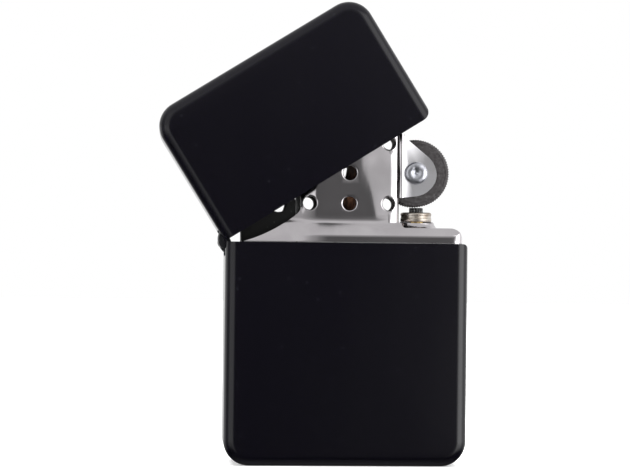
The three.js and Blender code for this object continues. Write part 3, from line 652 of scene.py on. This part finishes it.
def build_hinge():
    lower = tidy(cut(hinge_leaf(-1, (1, 3)), pin_bore()))
    dress(soften(lower, 0.07), "lower_hinge_leaf", "case", HINGE_COAT, ["hinge_leaf_case"])
    outline = rounded(0.5, -LEVER_HALF, LEVER_REACH, LEVER_HALF, (0, 0.24, 0.24, 0), 5)
    turn = math.radians(LEVER_ANGLE)
    c, s = math.cos(turn), math.sin(turn)
    points = [(HINGE.x + u * c - v * s, HINGE.z + u * s + v * c) for u, v in outline]
    lever = prism(points, -KNUCKLE_WIDTH / 2, KNUCKLE_WIDTH / 2, "Y")
    upper = swing_open(tidy(cut(join(hinge_leaf(1, (0, 2, 4)), lever), pin_bore())))
    dress(soften(upper, 0.07), "upper_hinge_leaf", "lid", HINGE_COAT, ["hinge_leaf_lid"])


# ---------------------------------------------------------------- insert


def half_depth(z, start, tilt, rounds):
    """Half depth of the insert at a height: tank wall, round, straight slope, fillet, chimney wall."""
    slope = math.radians(tilt)
    drop = TANK_HALF - CHIMNEY_HALF
    outer, inner = rounds
    end = start + drop / math.tan(slope) + (outer + inner) * math.tan(slope / 2)
    round_top = start + outer * math.sin(slope)
    fillet_low = end - inner * math.sin(slope)
    if z <= start:
        return TANK_HALF
    if z <= round_top:
        return TANK_HALF - outer + math.sqrt(outer ** 2 - (z - start) ** 2)
    if z <= fillet_low:
        return TANK_HALF - outer * (1 - math.cos(slope)) - (z - round_top) * math.tan(slope)
    if z <= end:
        return CHIMNEY_HALF + inner - math.sqrt(inner ** 2 - (end - z) ** 2)
    return CHIMNEY_HALF


def front_outline():
    """The insert's front view: sloping fins, chimney and deck."""
    points = [(FIN_LEFT, TANK_TOP - 0.02), (TANK_RIGHT, TANK_TOP - 0.02)]
    points += arc(TANK_RIGHT - DECK_CORNER, DECK - DECK_CORNER, DECK_CORNER, 0, 90, 12)
    points += arc(CHIMNEY_RIGHT + FOOT_FILLET, DECK + FOOT_FILLET, FOOT_FILLET, 270, 180, 8)
    points += [(CHIMNEY_RIGHT, CHIMNEY_TOP), (CHIMNEY_LEFT, CHIMNEY_TOP), (CHIMNEY_LEFT, FIN_STEP)]
    fin_top = (CHIMNEY_LEFT - 0.9, 39.1)
    fin_middle = (-11.2, 37.02)
    points += curve(points[-1], (CHIMNEY_LEFT - 0.05, 39.75), fin_top, 8)
    points += curve(fin_top, (-9.3, 38.1), fin_middle, 8)
    points += curve(fin_middle, (-14.0, 35.5), (FIN_LEFT, TANK_TOP), 10)[:-1]
    return points


def top_plan(inset, low):
    half = TANK_HALF - inset
    radius = TANK_CORNER - inset
    return prism(rounded(-WIDTH, -half, TANK_RIGHT - inset, half, (0, radius, radius, 0)), low, FAR, "Z")


def smooth_step(low, high, value):
    t = min(max((value - low) / (high - low), 0.0), 1.0)
    return t * t * (3 - 2 * t)


def eased(distance, slope, soft):
    """A slope that starts softly at distance zero."""
    if distance <= 0:
        return 0.0
    if distance < soft:
        return slope * distance ** 2 / (2 * soft)
    return slope * (distance - soft / 2)


def face_recess(x, z):
    """How far the pressed chimney face falls back from flat: rolled at the left, creased at the right."""
    left = ROLL_START - max(x, CHIMNEY_LEFT)
    rolled = eased(left, 0.22, 0.3) + 0.15 * max(left - 1.8, 0.0) ** 2
    lean = 0.2 if z < CREASE_Z else 0.42
    crease = CREASE_X - lean * (min(z, 47.0) - CREASE_Z)
    bent = eased(x - crease, CREASE_SLOPE, 0.25)
    wave = 0.02 + 0.012 * noise.noise(Vector((x * 0.45, z * 0.35, 4.0)))
    return rolled * smooth_step(37.8, 41.2, z) + (bent + wave) * smooth_step(38.0, 39.2, z)


def sheet_depth(x, z):
    """Half depth of the pressed sheet: to the left, the shoulder runs out into a gentler fin."""
    shoulder = half_depth(z, SHOULDER_START, SHOULDER_TILT, SHOULDER_ROUNDS)
    fin = half_depth(z, FIN_START, FIN_TILT, FIN_ROUNDS)
    blend = smooth_step(-8.4, -2.8, x)
    return fin + (shoulder - fin) * blend - face_recess(x, z)


def steps(start, *runs):
    """Grid positions: each run is (end, step)."""
    values = [start]
    for end, step in runs:
        count = max(round((end - values[-1]) / step), 1)
        first = values[-1]
        values += [first + (end - first) * (i + 1) / count for i in range(count)]
    return values


SHEET_X = steps(-17.5, (-10.0, 0.7), (-4.4, 0.2), (3.4, 0.7), (6.8, 0.3), (WIDTH / 2, 1.5))
SHEET_Z = steps(TANK_TOP - 2.5, (TANK_TOP - 0.5, 1.0), (39.4, 0.12), (41.0, 0.25), (CHIMNEY_TOP + 1, 0.8))


def sheet_form(inset):
    """The solid between the front and back sheets, as two grids that follow sheet_depth."""
    bm = bmesh.new()
    layers = []
    for side in (-1, 1):
        rows = []
        for z in SHEET_Z:
            rows.append([bm.verts.new((x, side * (sheet_depth(x, z) - inset), z)) for x in SHEET_X])
        layers.append(rows)
    across = len(SHEET_X)
    up = len(SHEET_Z)
    for rows in layers:
        for a, b in zip(rows, rows[1:]):
            for i in range(across - 1):
                bm.faces.new((a[i], a[i + 1], b[i + 1], b[i]))
    near, far = layers
    rim = [(0, i) for i in range(across)] + [(k, across - 1) for k in range(1, up)]
    rim += [(up - 1, i) for i in range(across - 2, -1, -1)] + [(k, 0) for k in range(up - 2, 0, -1)]
    for (k, i), (m, j) in zip(rim, rim[1:] + rim[:1]):
        bm.faces.new((near[k][i], near[m][j], far[m][j], far[k][i]))
    return to_object(bm)


def corner_cuts(inset):
    """What is taken off the two upright corners beside the wheel."""
    x = CHIMNEY_RIGHT - CHIMNEY_CORNER
    y = CHIMNEY_HALF - CORNER_SETBACK - CHIMNEY_CORNER
    radius = CHIMNEY_CORNER - inset
    quarter = arc(x, y, radius, 90, 0, 24)
    outline = quarter + [(x + DEPTH, y), (x + DEPTH, DEPTH), (x, DEPTH)]
    return [prism([(u, side * v) for u, v in outline], CORNER_FOOT, FAR, "Z") for side in (1, -1)]


def insert_hollow():
    low = TANK_TOP - 2
    radius = DECK_CORNER - SHEET
    under = rounded(CHIMNEY_RIGHT - SHEET - 1, low, TANK_RIGHT - SHEET, DECK - SHEET, (0, 0, radius, 0))
    flue = block(CHIMNEY_LEFT + SHEET, CHIMNEY_RIGHT - SHEET, -DEPTH, DEPTH, low, FAR)
    flue = cut(flue, *corner_cuts(SHEET))
    bay = block(-WIDTH - 5, CHIMNEY_LEFT, -DEPTH, DEPTH, low, FAR)
    hollow = join(flue, bay, prism(under, -DEPTH, DEPTH, "Y"))
    return common(hollow, sheet_form(SHEET), top_plan(SHEET, low - 1))


def chimney_holes():
    """Through holes with rolled mouths, in staggered rows of three and one."""
    holes = []
    for row, columns in ((0, (-1, 0, 1)), (1, (0,)), (2, (-1, 0, 1))):
        for column in columns:
            x = HOLE_X + column * HOLE_SPACING
            z = HOLE_LOW + row * HOLE_PITCH
            face = sheet_depth(x, z)
            mouth = [(HOLE + HOLE_RIM - u, face - HOLE_RIM + v) for u, v in arc(0, 0, HOLE_RIM, 0, 90, 6)]
            half = mouth + [(HOLE + HOLE_RIM, DEPTH), (0, DEPTH)]
            rings = [(r, -h) for r, h in reversed(half)] + half
            holes.append(turned(rings, "Y", x, z, 64))
    return holes


def ear(side):
    """One wheel bracket: a straight sloping top edge, a round nose and a flat underside."""
    root = CHIMNEY_RIGHT - SHEET
    low = WHEEL.z - 3.95
    nose = WHEEL.x + 3.27
    outline = [(root, low), (WHEEL.x - 0.5, low + 0.25)]
    outline += curve(outline[-1], (WHEEL.x + 1.3, low + 0.4), (WHEEL.x + 2.1, low + 1.3))
    outline += curve(outline[-1], (nose - 0.05, low + 2.3), (nose, WHEEL.z - 0.3))
    outline += curve(outline[-1], (nose - 0.1, WHEEL.z + 1.4), (WHEEL.x + 2.0, WHEEL.z + 2.5))
    outline += [(root, WHEEL.z + 6.4)]
    y0, y1 = sorted((side * EAR_INNER, side * EAR_OUTER))
    return prism(outline, y0, y1, "Y")


def ear_bead(side):
    """The rounded fold where a bracket leaves the chimney."""
    return rod(BEAD, CHIMNEY_RIGHT + 0.02, side * BEAD_CENTRE, WHEEL.z - 3.9, WHEEL.z + 6.2, "Z", 40)


def ear_slot():
    """The bowed slot left open where the brackets are folded out."""
    left = CHIMNEY_RIGHT - 0.55
    middle = WHEEL.z - 0.2
    bow = curve((left, middle - 1.6), (left + 0.75, middle), (left, middle + 1.6), 14)
    return prism([(left, middle - 1.6)] + bow, -DEPTH, DEPTH, "Y")


def tube_boss():
    """The raised seat round the flint tube."""
    profile = [(0, DECK - 0.3), (3.45, DECK - 0.3), (3.45, DECK), (3.2, DECK + 0.12), (2.95, DECK + 0.5)]
    profile += [(2.85, BOSS_TOP - 0.2), (2.72, BOSS_TOP), (0, BOSS_TOP)]
    return turned(profile, "Z", FLINT.x, 0)


def paint_windscreen(screen):
    """Bracket steel on the ears; the dark soot finish, which is also painted shade, on the faces that look
    inwards, on the ears' inner faces and on the flue's inner right wall; the rest stays chrome.
    """
    screen.data.materials.append(BRACKET_STEEL)
    screen.data.materials.append(SOOT_AND_SHADE_STEEL)
    last_hole = HOLE_X + HOLE_SPACING + HOLE
    for face in screen.data.polygons:
        centre = face.center / MM
        if centre.x > CHIMNEY_RIGHT + 0.36 and centre.z > WHEEL.z - 4.0:
            # The ears' inner faces, beside the wheel, take the dark soot finish as painted shade.
            face.material_index = 1 if abs(centre.y) > EAR_INNER + 0.02 else 2
        elif CHIMNEY_LEFT + 0.3 < centre.x < CHIMNEY_RIGHT - 0.3:
            inside = abs(centre.y) < sheet_depth(centre.x, centre.z) - SHEET + 0.06
            right_wall = centre.x > last_hole + 0.1 and face.normal.x < -0.2
            # Painted shade and soot: the faces inside the flue and its inner right wall, seen through the
            # holes, take the dark finish.
            if inside or right_wall:
                face.material_index = 2


def build_windscreen():
    screen = common(sheet_form(0), prism(front_outline(), -DEPTH, DEPTH, "Y"), top_plan(0, TANK_TOP - 2))
    slot = block(CHIMNEY_RIGHT - 1, CHIMNEY_RIGHT + 0.3, -EAR_INNER, EAR_INNER, BOSS_TOP, FAR)
    screen = cut(join(screen, tube_boss()), insert_hollow(), *corner_cuts(0), slot)
    screen = join(screen, ear(1), ear(-1), ear_bead(1), ear_bead(-1))
    tube_hole = rod(TUBE_HOLE, FLINT.x, 0, TANK_TOP - 1, BOSS_TOP + 1, "Z")
    axle = rod(AXLE_BORE, WHEEL.x, WHEEL.z, -DEPTH, DEPTH, "Y")
    wheel_room = rod(WHEEL_RADIUS + WHEEL_ROOM, WHEEL.x, WHEEL.z, -EAR_INNER, EAR_INNER, "Y")
    screen = tidy(cut(screen, *chimney_holes(), ear_slot(), tube_hole, axle, wheel_room))
    dress(soften(screen, 0.11, 40), "chimney_top", "case", CHROME, ["windscreen"])
    paint_windscreen(screen)


# ---------------------------------------------------------------- wheel, flint and cam


def build_wheel():
    """A finely knurled wheel with a plain matt side and a shallow ring near its edge."""
    edge = WHEEL_RADIUS
    side = [(AXLE_BORE, WHEEL_HALF, 0.0), (4.62, WHEEL_HALF, 0.0), (4.66, WHEEL_HALF - 0.05, 0.0)]
    side += [(4.72, WHEEL_HALF - 0.05, 0.0), (4.76, WHEEL_HALF, 0.0), (5.0, WHEEL_HALF - 0.02, 0.2)]
    rim = [(5.2, WHEEL_HALF - 0.14, 0.6), (edge, WHEEL_HALF - 0.4, 1.0)]
    band = [(edge, 0.95, 1.0), (edge - 0.25, 0.85, 0.8)]
    half = side + rim + band
    rings = [(r, -y, t) for r, y, t in half] + [(r, y, t) for r, y, t in reversed(half)]

    def tooth(angle, index):
        r, y, amount = rings[index]
        phase = (WHEEL_TEETH * (angle + 0.05 * y) / (2 * math.pi)) % 1.0
        return 1.0 - TOOTH_SHARE * amount * abs(2 * phase - 1)

    wheel = turned([(r, y) for r, y, _ in rings], "Y", WHEEL.x, WHEEL.z, WHEEL_TEETH * 6, tooth)
    dress(soften(wheel, 0.0, 28), "knurled_wheel", "wheel", WHEEL_STEEL, ["flint_wheel"])


def build_rivet():
    """Spun rivet: a dished head with a raised ring on each ear."""
    face = EAR_OUTER + WELD_GAP
    head = [(0.0, 0.2), (0.2, 0.17), (0.3, 0.3), (0.55, 0.36), (0.75, 0.46), (1.0, 0.5)]
    head += [(1.3, 0.47), (1.55, 0.38), (1.7, 0.25), (1.75, 0.12), (1.75, 0.0), (0.85, 0.0)]
    rings = [(r, -face - h) for r, h in head] + [(r, face + h) for r, h in reversed(head)]
    rivet = turned(rings, "Y", WHEEL.x, WHEEL.z, 64)
    for vertex in rivet.data.vertices:
        if abs(vertex.co.y) > (face + 0.15) * MM:
            dent = noise.noise(vertex.co * 1500.0) * 0.05 * MM
            vertex.co.y += dent if vertex.co.y < 0 else -dent
    dress(soften(rivet, 0.0, 40), "spun_rivet", "case", RIVET_STEEL, ["wheel_rivet"])


def build_collar():
    """The pale ferrule round the flint tube, with a stepped foot and a rolled lip."""
    seat = BOSS_TOP + WELD_GAP
    rings = [(1.85, seat), (2.4, seat), (2.45, seat + 0.06), (2.45, seat + 0.5), (2.38, seat + 0.58)]
    rings += [(2.38, COLLAR_TOP - 0.5), (2.45, COLLAR_TOP - 0.42), (2.45, COLLAR_TOP - 0.25)]
    rings += [(2.38, COLLAR_TOP - 0.1), (2.22, COLLAR_TOP), (1.85, COLLAR_TOP)]
    collar = soften(turned(rings, "Z", FLINT.x, 0, 96), 0.04, 40)
    dress(collar, "flint_collar", "case", COLLAR_BRASS, ["flint_tube_collar"])


def build_flint():
    """The flint, fluted by the wheel's teeth at its top."""
    low, high = node_box("flint")
    flutes = 14
    levels = [(0, low.z), (FLINT_RADIUS, low.z)]
    levels += [(FLINT_RADIUS, low.z + (high.z - low.z) * t) for t in (0.3, 0.55, 0.6, 0.8, 0.97)]
    levels += [(FLINT_RADIUS - 0.08, high.z), (0, high.z - 0.1)]

    def flute(angle, index):
        if index < 4:
            return 1.0
        return 1.0 - 0.16 * abs(math.cos(flutes * angle / 2)) ** 3

    flint = turned(levels, "Z", FLINT.x, 0, flutes * 8, flute)
    dress(soften(flint, 0.0, 35), "fluted_flint", "flint", FLINT_ALLOY, ["flint"])


def build_flint_spring():
    """The coil spring with closed end coils."""
    low, high = node_box("flint_spring")
    wire, coil, coils, dead_pitch = 0.16, 0.86, 24, 0.36
    sides, per_coil = 8, 20
    live_pitch = (high.z - low.z - 2 * wire - 2 * dead_pitch) / (coils - 2)
    bm = bmesh.new()
    rings = []
    for step in range(coils * per_coil + 1):
        turn = step / per_coil
        live = min(max(turn - 1.0, 0.0), coils - 2.0)
        height = low.z + wire + dead_pitch * (turn - live) + live_pitch * live
        swing = 2 * math.pi * turn
        ring = []
        for side in range(sides):
            angle = 2 * math.pi * side / sides
            reach = coil + wire * math.cos(angle)
            lift = height + wire * math.sin(angle)
            ring.append(bm.verts.new((FLINT.x + reach * math.cos(swing), reach * math.sin(swing), lift)))
        rings.append(ring)
    skin(bm, rings)
    bm.faces.new(reversed(rings[0]))
    bm.faces.new(rings[-1])
    spring = soften(to_object(bm), 0.0, 50)
    dress(spring, "flint_coil_spring", None, SPRING_STEEL, ["flint_spring"])
    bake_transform(spring)


def build_cam():
    """The rocking cam: round heel, humped back, saddle and a nose beside the chimney."""
    low, high = node_box("cam")
    left, right, top = low.x, high.x, high.z
    saddle = top - CAM_DIP
    nose = top + CAM_NOSE
    outline = [(left, CAM_PIVOT.z - 0.5)] + arc(CAM_PIVOT.x, CAM_PIVOT.z, CAM_HEEL, 225, 342, 16)
    outline += curve(outline[-1], (right - 0.4, 34.8), (right, 36.8)) + [(right, top - 0.1)]
    outline += curve(outline[-1], (right - 0.05, nose), (right - 0.45, nose), 6)
    outline += [(right - 1.3, nose - 0.05)]
    outline += curve(outline[-1], (right - 1.6, saddle + 0.2), (right - 2.0, saddle + 0.1), 6)
    outline += [(right - 2.8, saddle)]
    outline += curve(outline[-1], (right - 3.4, saddle + 0.1), (right - 4.6, top - 1.2))
    outline += curve(outline[-1], (left + 2.6, top - 0.5), (left + 1.5, top - 1.4))
    outline += curve(outline[-1], (left + 0.1, top - 2.7), (left, CAM_PIVOT.z + 3.2))
    bore = rod(CAM_BORE, CAM_PIVOT.x, CAM_PIVOT.z, -DEPTH, DEPTH, "Y")
    cam = cut(prism(outline, low.y, high.y, "Y"), bore)
    dress(soften(tidy(cam), 0.12, 35, 3), "rocking_cam", "cam", CAM_STEEL, ["cam"])


# ---------------------------------------------------------------- wick and soft filling

WICK_ROUTE = [
    (1.8, 49.6), (1.8, 46.5), (0.8, 41.5), (0.5, 35.0), (0.5, 31.5), (-3.2, 27.6), (-9.0, 24.4),
    (-10.0, 21.2), (-3.5, 17.6), (1.5, 14.6), (-2.5, 11.2), (-8.5, 8.6),
]


def smooth_route(points, steps):
    """Catmull-Rom curve through the points, from the first to the last."""
    route = [Vector(p) for p in points]
    padded = [2 * route[0] - route[1]] + route + [2 * route[-1] - route[-2]]
    result = []
    for i in range(1, len(padded) - 2):
        a, b, c, d = padded[i - 1:i + 3]
        for k in range(steps):
            t = k / steps
            cubic = (-a + 3 * b - 3 * c + d) * t ** 3 + (2 * a - 5 * b + 4 * c - d) * t ** 2
            result.append(0.5 * (2 * b + (c - a) * t + cubic))
    return result + [route[-1]]


def build_wick():
    """Braided cotton wick: crossed strands over the whole route, with a frayed top."""
    route = smooth_route(WICK_ROUTE, 26)
    around = 48
    strands = 5
    bm = bmesh.new()
    rings = []
    run = 0.0
    for index, point in enumerate(route):
        ahead = route[min(index + 1, len(route) - 1)]
        behind = route[max(index - 1, 0)]
        along = (ahead - behind).normalized()
        run += (point - behind).length
        ring = []
        for i in range(around):
            angle = 2 * math.pi * i / around
            crossing = [abs(math.cos(strands * angle + turn * run)) for turn in (1.1, -1.1)]
            weave = max(crossing)
            fray = 0.06 * noise.noise(Vector((3 * angle, run, 2.0))) * max(0.0, 1.0 - run / 4.0)
            radius = WICK_RADIUS * (0.84 + 0.13 * weave + fray)
            across = radius * math.cos(angle)
            ring.append(bm.verts.new((
                point.x + across * along.y, radius * math.sin(angle), point.y - across * along.x,
            )))
        rings.append(ring)
    skin(bm, rings)
    for ring, lift in ((rings[0], 0.35), (rings[-1], -0.2)):
        centre = sum((v.co for v in ring), Vector()) / around
        inner = []
        for i, vertex in enumerate(ring):
            spot = centre.lerp(vertex.co, 0.55)
            spot.z += lift * (0.5 + 0.5 * noise.noise(Vector((i * 0.9, lift, 0))))
            inner.append(bm.verts.new(spot))
        tip = bm.verts.new(centre + Vector((0, 0, lift * 0.7)))
        for i in range(around):
            j = (i + 1) % around
            bm.faces.new((ring[i], ring[j], inner[j], inner[i]))
            bm.faces.new((inner[i], inner[j], tip))
    wick = to_object(bm)
    dress(soften(wick, 0.0, 60), "braided_wick", "case", WICK_COTTON, ["wick"])


def soft_block(node, inset, corner, swell, seed):
    """A lumpy cotton form inside a soft CAD node, with that node's bores kept clear."""
    source = frame["nodes"][node]
    obj = bpy.data.objects.new(node + "_soft", source.data.copy())
    bpy.context.scene.collection.objects.link(obj)
    remesh = obj.modifiers.new("remesh", "REMESH")
    remesh.mode = "VOXEL"
    remesh.voxel_size = corner * MM
    relax = obj.modifiers.new("relax", "CORRECTIVE_SMOOTH")
    relax.iterations = 6
    relax.use_only_smooth = True
    graph = bpy.context.evaluated_depsgraph_get()
    mesh = bpy.data.meshes.new_from_object(obj.evaluated_get(graph))
    obj.modifiers.clear()
    obj.data = mesh
    shift = Vector((seed, 2.0 * seed, 0.5))
    for vertex in mesh.vertices:
        lump = noise.noise(vertex.co * 330.0 + shift) + 0.5 * noise.noise(vertex.co * 900.0 + shift)
        vertex.co -= vertex.normal * (inset - swell * lump) * MM
    return obj


def build_filling():
    """Four cotton wads and the felt pad below them."""
    for number in range(1, 5):
        node = f"packing_{number}"
        wad = soft_block(node, 0.22, 0.55, 0.16, number)
        dress(soften(wad, 0.0, 80), f"cotton_wad_{number}", "case", COTTON, [node])
    pad = soft_block("felt_pad", 0.08, 0.4, 0.05, 9)
    dress(soften(pad, 0.0, 60), "pressed_felt_pad", "case", FELT, ["felt_pad"])


# ---------------------------------------------------------------- carried-over CAD nodes

CARRIED = {
    "hinge_pin": (HINGE_COAT, 0.05),
    "tank_shell": (INNER_STEEL, 0.06),
    "top_plate": (INNER_STEEL, 0.05),
    "flint_tube": (TUBE_BRASS, 0.05),
    "flint_spring_tip": (TUBE_BRASS, 0.05),
    "flint_screw": (TUBE_BRASS, 0.04),
    "cam_pin": (RIVET_STEEL, 0.05),
    # Painted shade: the spring wears the black cam finish, standing for the shade on the chimney's left
    # wall behind it.
    "cam_spring": (CAM_STEEL, 0.05),
    "cam_spring_rivet": (RIVET_STEEL, 0.04),
}


def dress_carried():
    """Finish and edge rounds for the CAD nodes that stay as they are."""
    for node, (material, width) in CARRIED.items():
        obj = frame["nodes"][node]
        obj.data.materials.clear()
        obj.data.materials.append(material)
        soften(obj, width, 40)


# ---------------------------------------------------------------- stage

CAMERA_TARGET = Vector((-4.68, 0.0, 35.83))
CAMERA_DISTANCE = 326.2
CAMERA_AZIMUTH = -4.011
CAMERA_ELEVATION = -0.585
CAMERA_ROLL = 0.651
CAMERA_LENS = 117.67


def aim(obj, target):
    """Points an object's -Z axis at a target, with its Y axis up."""
    direction = (target - obj.location).normalized()
    obj.rotation_mode = "QUATERNION"
    obj.rotation_quaternion = direction.to_track_quat("-Z", "Y")


def build_camera():
    camera = bpy.data.objects.new("camera", bpy.data.cameras.new("camera"))
    bpy.context.scene.collection.objects.link(camera)
    azimuth = math.radians(CAMERA_AZIMUTH)
    elevation = math.radians(CAMERA_ELEVATION)
    flat = math.cos(elevation)
    away = Vector((math.sin(azimuth) * flat, -math.cos(azimuth) * flat, math.sin(elevation)))
    camera.location = (CAMERA_TARGET + away * CAMERA_DISTANCE) * MM
    aim(camera, CAMERA_TARGET * MM)
    roll = Matrix.Rotation(math.radians(CAMERA_ROLL), 4, "Z")
    camera.rotation_quaternion = camera.rotation_quaternion @ roll.to_quaternion()
    camera.data.lens = CAMERA_LENS
    camera.data.sensor_width = 36.0
    camera.data.clip_start = 0.01
    bpy.context.scene.camera = camera


def softbox(name, location, target, width, height, power, color=(1.0, 1.0, 1.0)):
    data = bpy.data.lights.new(name, "AREA")
    data.shape = "RECTANGLE"
    data.size = width
    data.size_y = height
    data.energy = power
    data.color = color
    light = bpy.data.objects.new(name, data)
    bpy.context.scene.collection.objects.link(light)
    light.visible_glossy = False
    light.location = location
    aim(light, Vector(target))


def build_lights():
    """One wide overhead softbox and two weak side fills; the world carries the reflections."""
    centre = (0.0, 0.0, 0.03)
    softbox("top_softbox", (0.0, -0.05, 0.60), centre, 0.80, 0.60, 9.0)
    softbox("left_fill", (-0.45, -0.25, 0.20), centre, 0.30, 0.50, 1.2)
    softbox("right_fill", (0.45, -0.25, 0.20), centre, 0.30, 0.50, 1.2)


# Brightness of the surround by bearing from the front (degrees, + to the right) and by height, and
# how much of the height table is used at each height.
BEARING_LIGHT = [
    (-180, 0.33), (-112, 0.3), (-98, 0.09), (-72, 0.08), (-64, 0.3), (-22, 0.3),
    (-13, 0.027), (0, 0.021), (12, 0.028), (17, 0.13), (22, 0.21), (32, 0.92),
    (63, 1.0), (78, 0.5), (98, 0.22), (112, 0.3), (180, 0.33),
]
HEIGHT_LIGHT = [
    (-90, 0.06), (-60, 0.035), (-40, 0.008), (-8, 0.015), (1, 0.035), (6, 0.085),
    (20, 0.14), (35, 0.17), (90, 0.165),
]
HEIGHT_SHARE = [
    (-90, 1.0), (-30, 1.0), (-12, 0.4), (-5, 0.0), (0, 0.0), (8, 0.5),
    (30, 0.6), (44, 1.0),
]
SURROUND_STRENGTH = 3.4
FLOOR_RADIUS = 1200.0


class Surround:
    """Node calls for a studio surround that depends only on direction."""

    def __init__(self, tree):
        self.nodes = tree.nodes
        self.links = tree.links

    def math(self, operation, *sources):
        node = self.nodes.new("ShaderNodeMath")
        node.operation = operation
        for socket, source in zip(node.inputs, sources):
            if isinstance(source, (int, float)):
                socket.default_value = source
            else:
                self.links.new(source, socket)
        return node.outputs["Value"]

    def lookup(self, degrees, half_turn, stops):
        """Reads a table of (degrees, grey) through a smooth ramp."""
        scaled = self.math("MULTIPLY_ADD", degrees, 0.5 / half_turn, 0.5)
        node = self.nodes.new("ShaderNodeValToRGB")
        ramp = node.color_ramp
        ramp.interpolation = "EASE"
        places = [((angle / half_turn + 1) / 2, value) for angle, value in stops]
        ramp.elements[0].position, ramp.elements[0].color = places[0][0], (*[places[0][1]] * 3, 1)
        ramp.elements[1].position, ramp.elements[1].color = places[-1][0], (*[places[-1][1]] * 3, 1)
        for position, value in places[1:-1]:
            ramp.elements.new(position).color = (*[value] * 3, 1)
        self.links.new(scaled, node.inputs["Fac"])
        return node.outputs["Color"]


def build_world():
    """A white backdrop for the eye, and a soft studio surround for light and reflections."""
    world = bpy.data.worlds.new("studio")
    bpy.context.scene.world = world
    world.use_nodes = True
    tree = world.node_tree
    surround = Surround(tree)
    split = tree.nodes.new("ShaderNodeSeparateXYZ")
    tree.links.new(tree.nodes.new("ShaderNodeTexCoord").outputs["Generated"], split.inputs["Vector"])
    forward = surround.math("MULTIPLY", split.outputs["Y"], -1.0)
    bearing = surround.math("ARCTAN2", split.outputs["X"], forward)
    height = surround.math("ARCSINE", split.outputs["Z"])
    around = surround.lookup(bearing, math.pi, [(math.radians(a), v) for a, v in BEARING_LIGHT])
    upright = surround.lookup(height, math.pi / 2, [(math.radians(a), v) for a, v in HEIGHT_LIGHT])
    share = surround.lookup(height, math.pi / 2, [(math.radians(a), v) for a, v in HEIGHT_SHARE])
    blend = tree.nodes.new("ShaderNodeMixRGB")
    tree.links.new(share, blend.inputs["Fac"])
    tree.links.new(around, blend.inputs["Color1"])
    tree.links.new(upright, blend.inputs["Color2"])
    studio = tree.nodes["Background"]
    studio.inputs["Strength"].default_value = SURROUND_STRENGTH
    tree.links.new(blend.outputs["Color"], studio.inputs["Color"])
    backdrop = tree.nodes.new("ShaderNodeBackground")
    backdrop.inputs["Color"].default_value = (1.0, 1.0, 1.0, 1.0)
    path = tree.nodes.new("ShaderNodeLightPath")
    mix = tree.nodes.new("ShaderNodeMixShader")
    tree.links.new(path.outputs["Is Camera Ray"], mix.inputs["Fac"])
    tree.links.new(studio.outputs["Background"], mix.inputs[1])
    tree.links.new(backdrop.outputs["Background"], mix.inputs[2])
    tree.links.new(mix.outputs["Shader"], tree.nodes["World Output"].inputs["Surface"])


def build_floor():
    """A pale disc that glows: weakly next to the lighter, which lightens its shadow there, and fully
    further out, so that it runs into the white backdrop.
    """
    floor = rod(FLOOR_RADIUS, 0, 0, -2.0, 0.0, "Z", 96)
    floor.name = "floor"
    floor.visible_glossy = False
    paint = Finish("pale_floor", (0.93, 0.93, 0.93), 0.7, Specular_IOR_Level=0.2)
    paint.set("Emission Color", (1.0, 1.0, 1.0, 1.0))
    reach = paint.nodes.new("ShaderNodeVectorMath")
    reach.operation = "LENGTH"
    paint.links.new(paint.coords, reach.inputs[0])
    # Painted light: the floor glows at 0.4 within 30 mm of the centre, rising to 1.0 from 0.4 m out.
    paint.drive("Emission Strength", paint.range(reach.outputs["Value"], 0.4, 1.0, 0.03, 0.4))
    paint.bump([(paint.noise(120, 3), 0.02, 0.1)])
    floor.data.materials.append(paint.material)


build_case()
build_lid()
build_hinge()
build_windscreen()
build_wheel()
build_rivet()
build_collar()
build_flint()
build_flint_spring()
build_cam()
build_wick()
build_filling()
dress_carried()
build_camera()
build_lights()
build_world()
build_floor()
bpy.context.scene.view_settings.view_transform = "Standard"
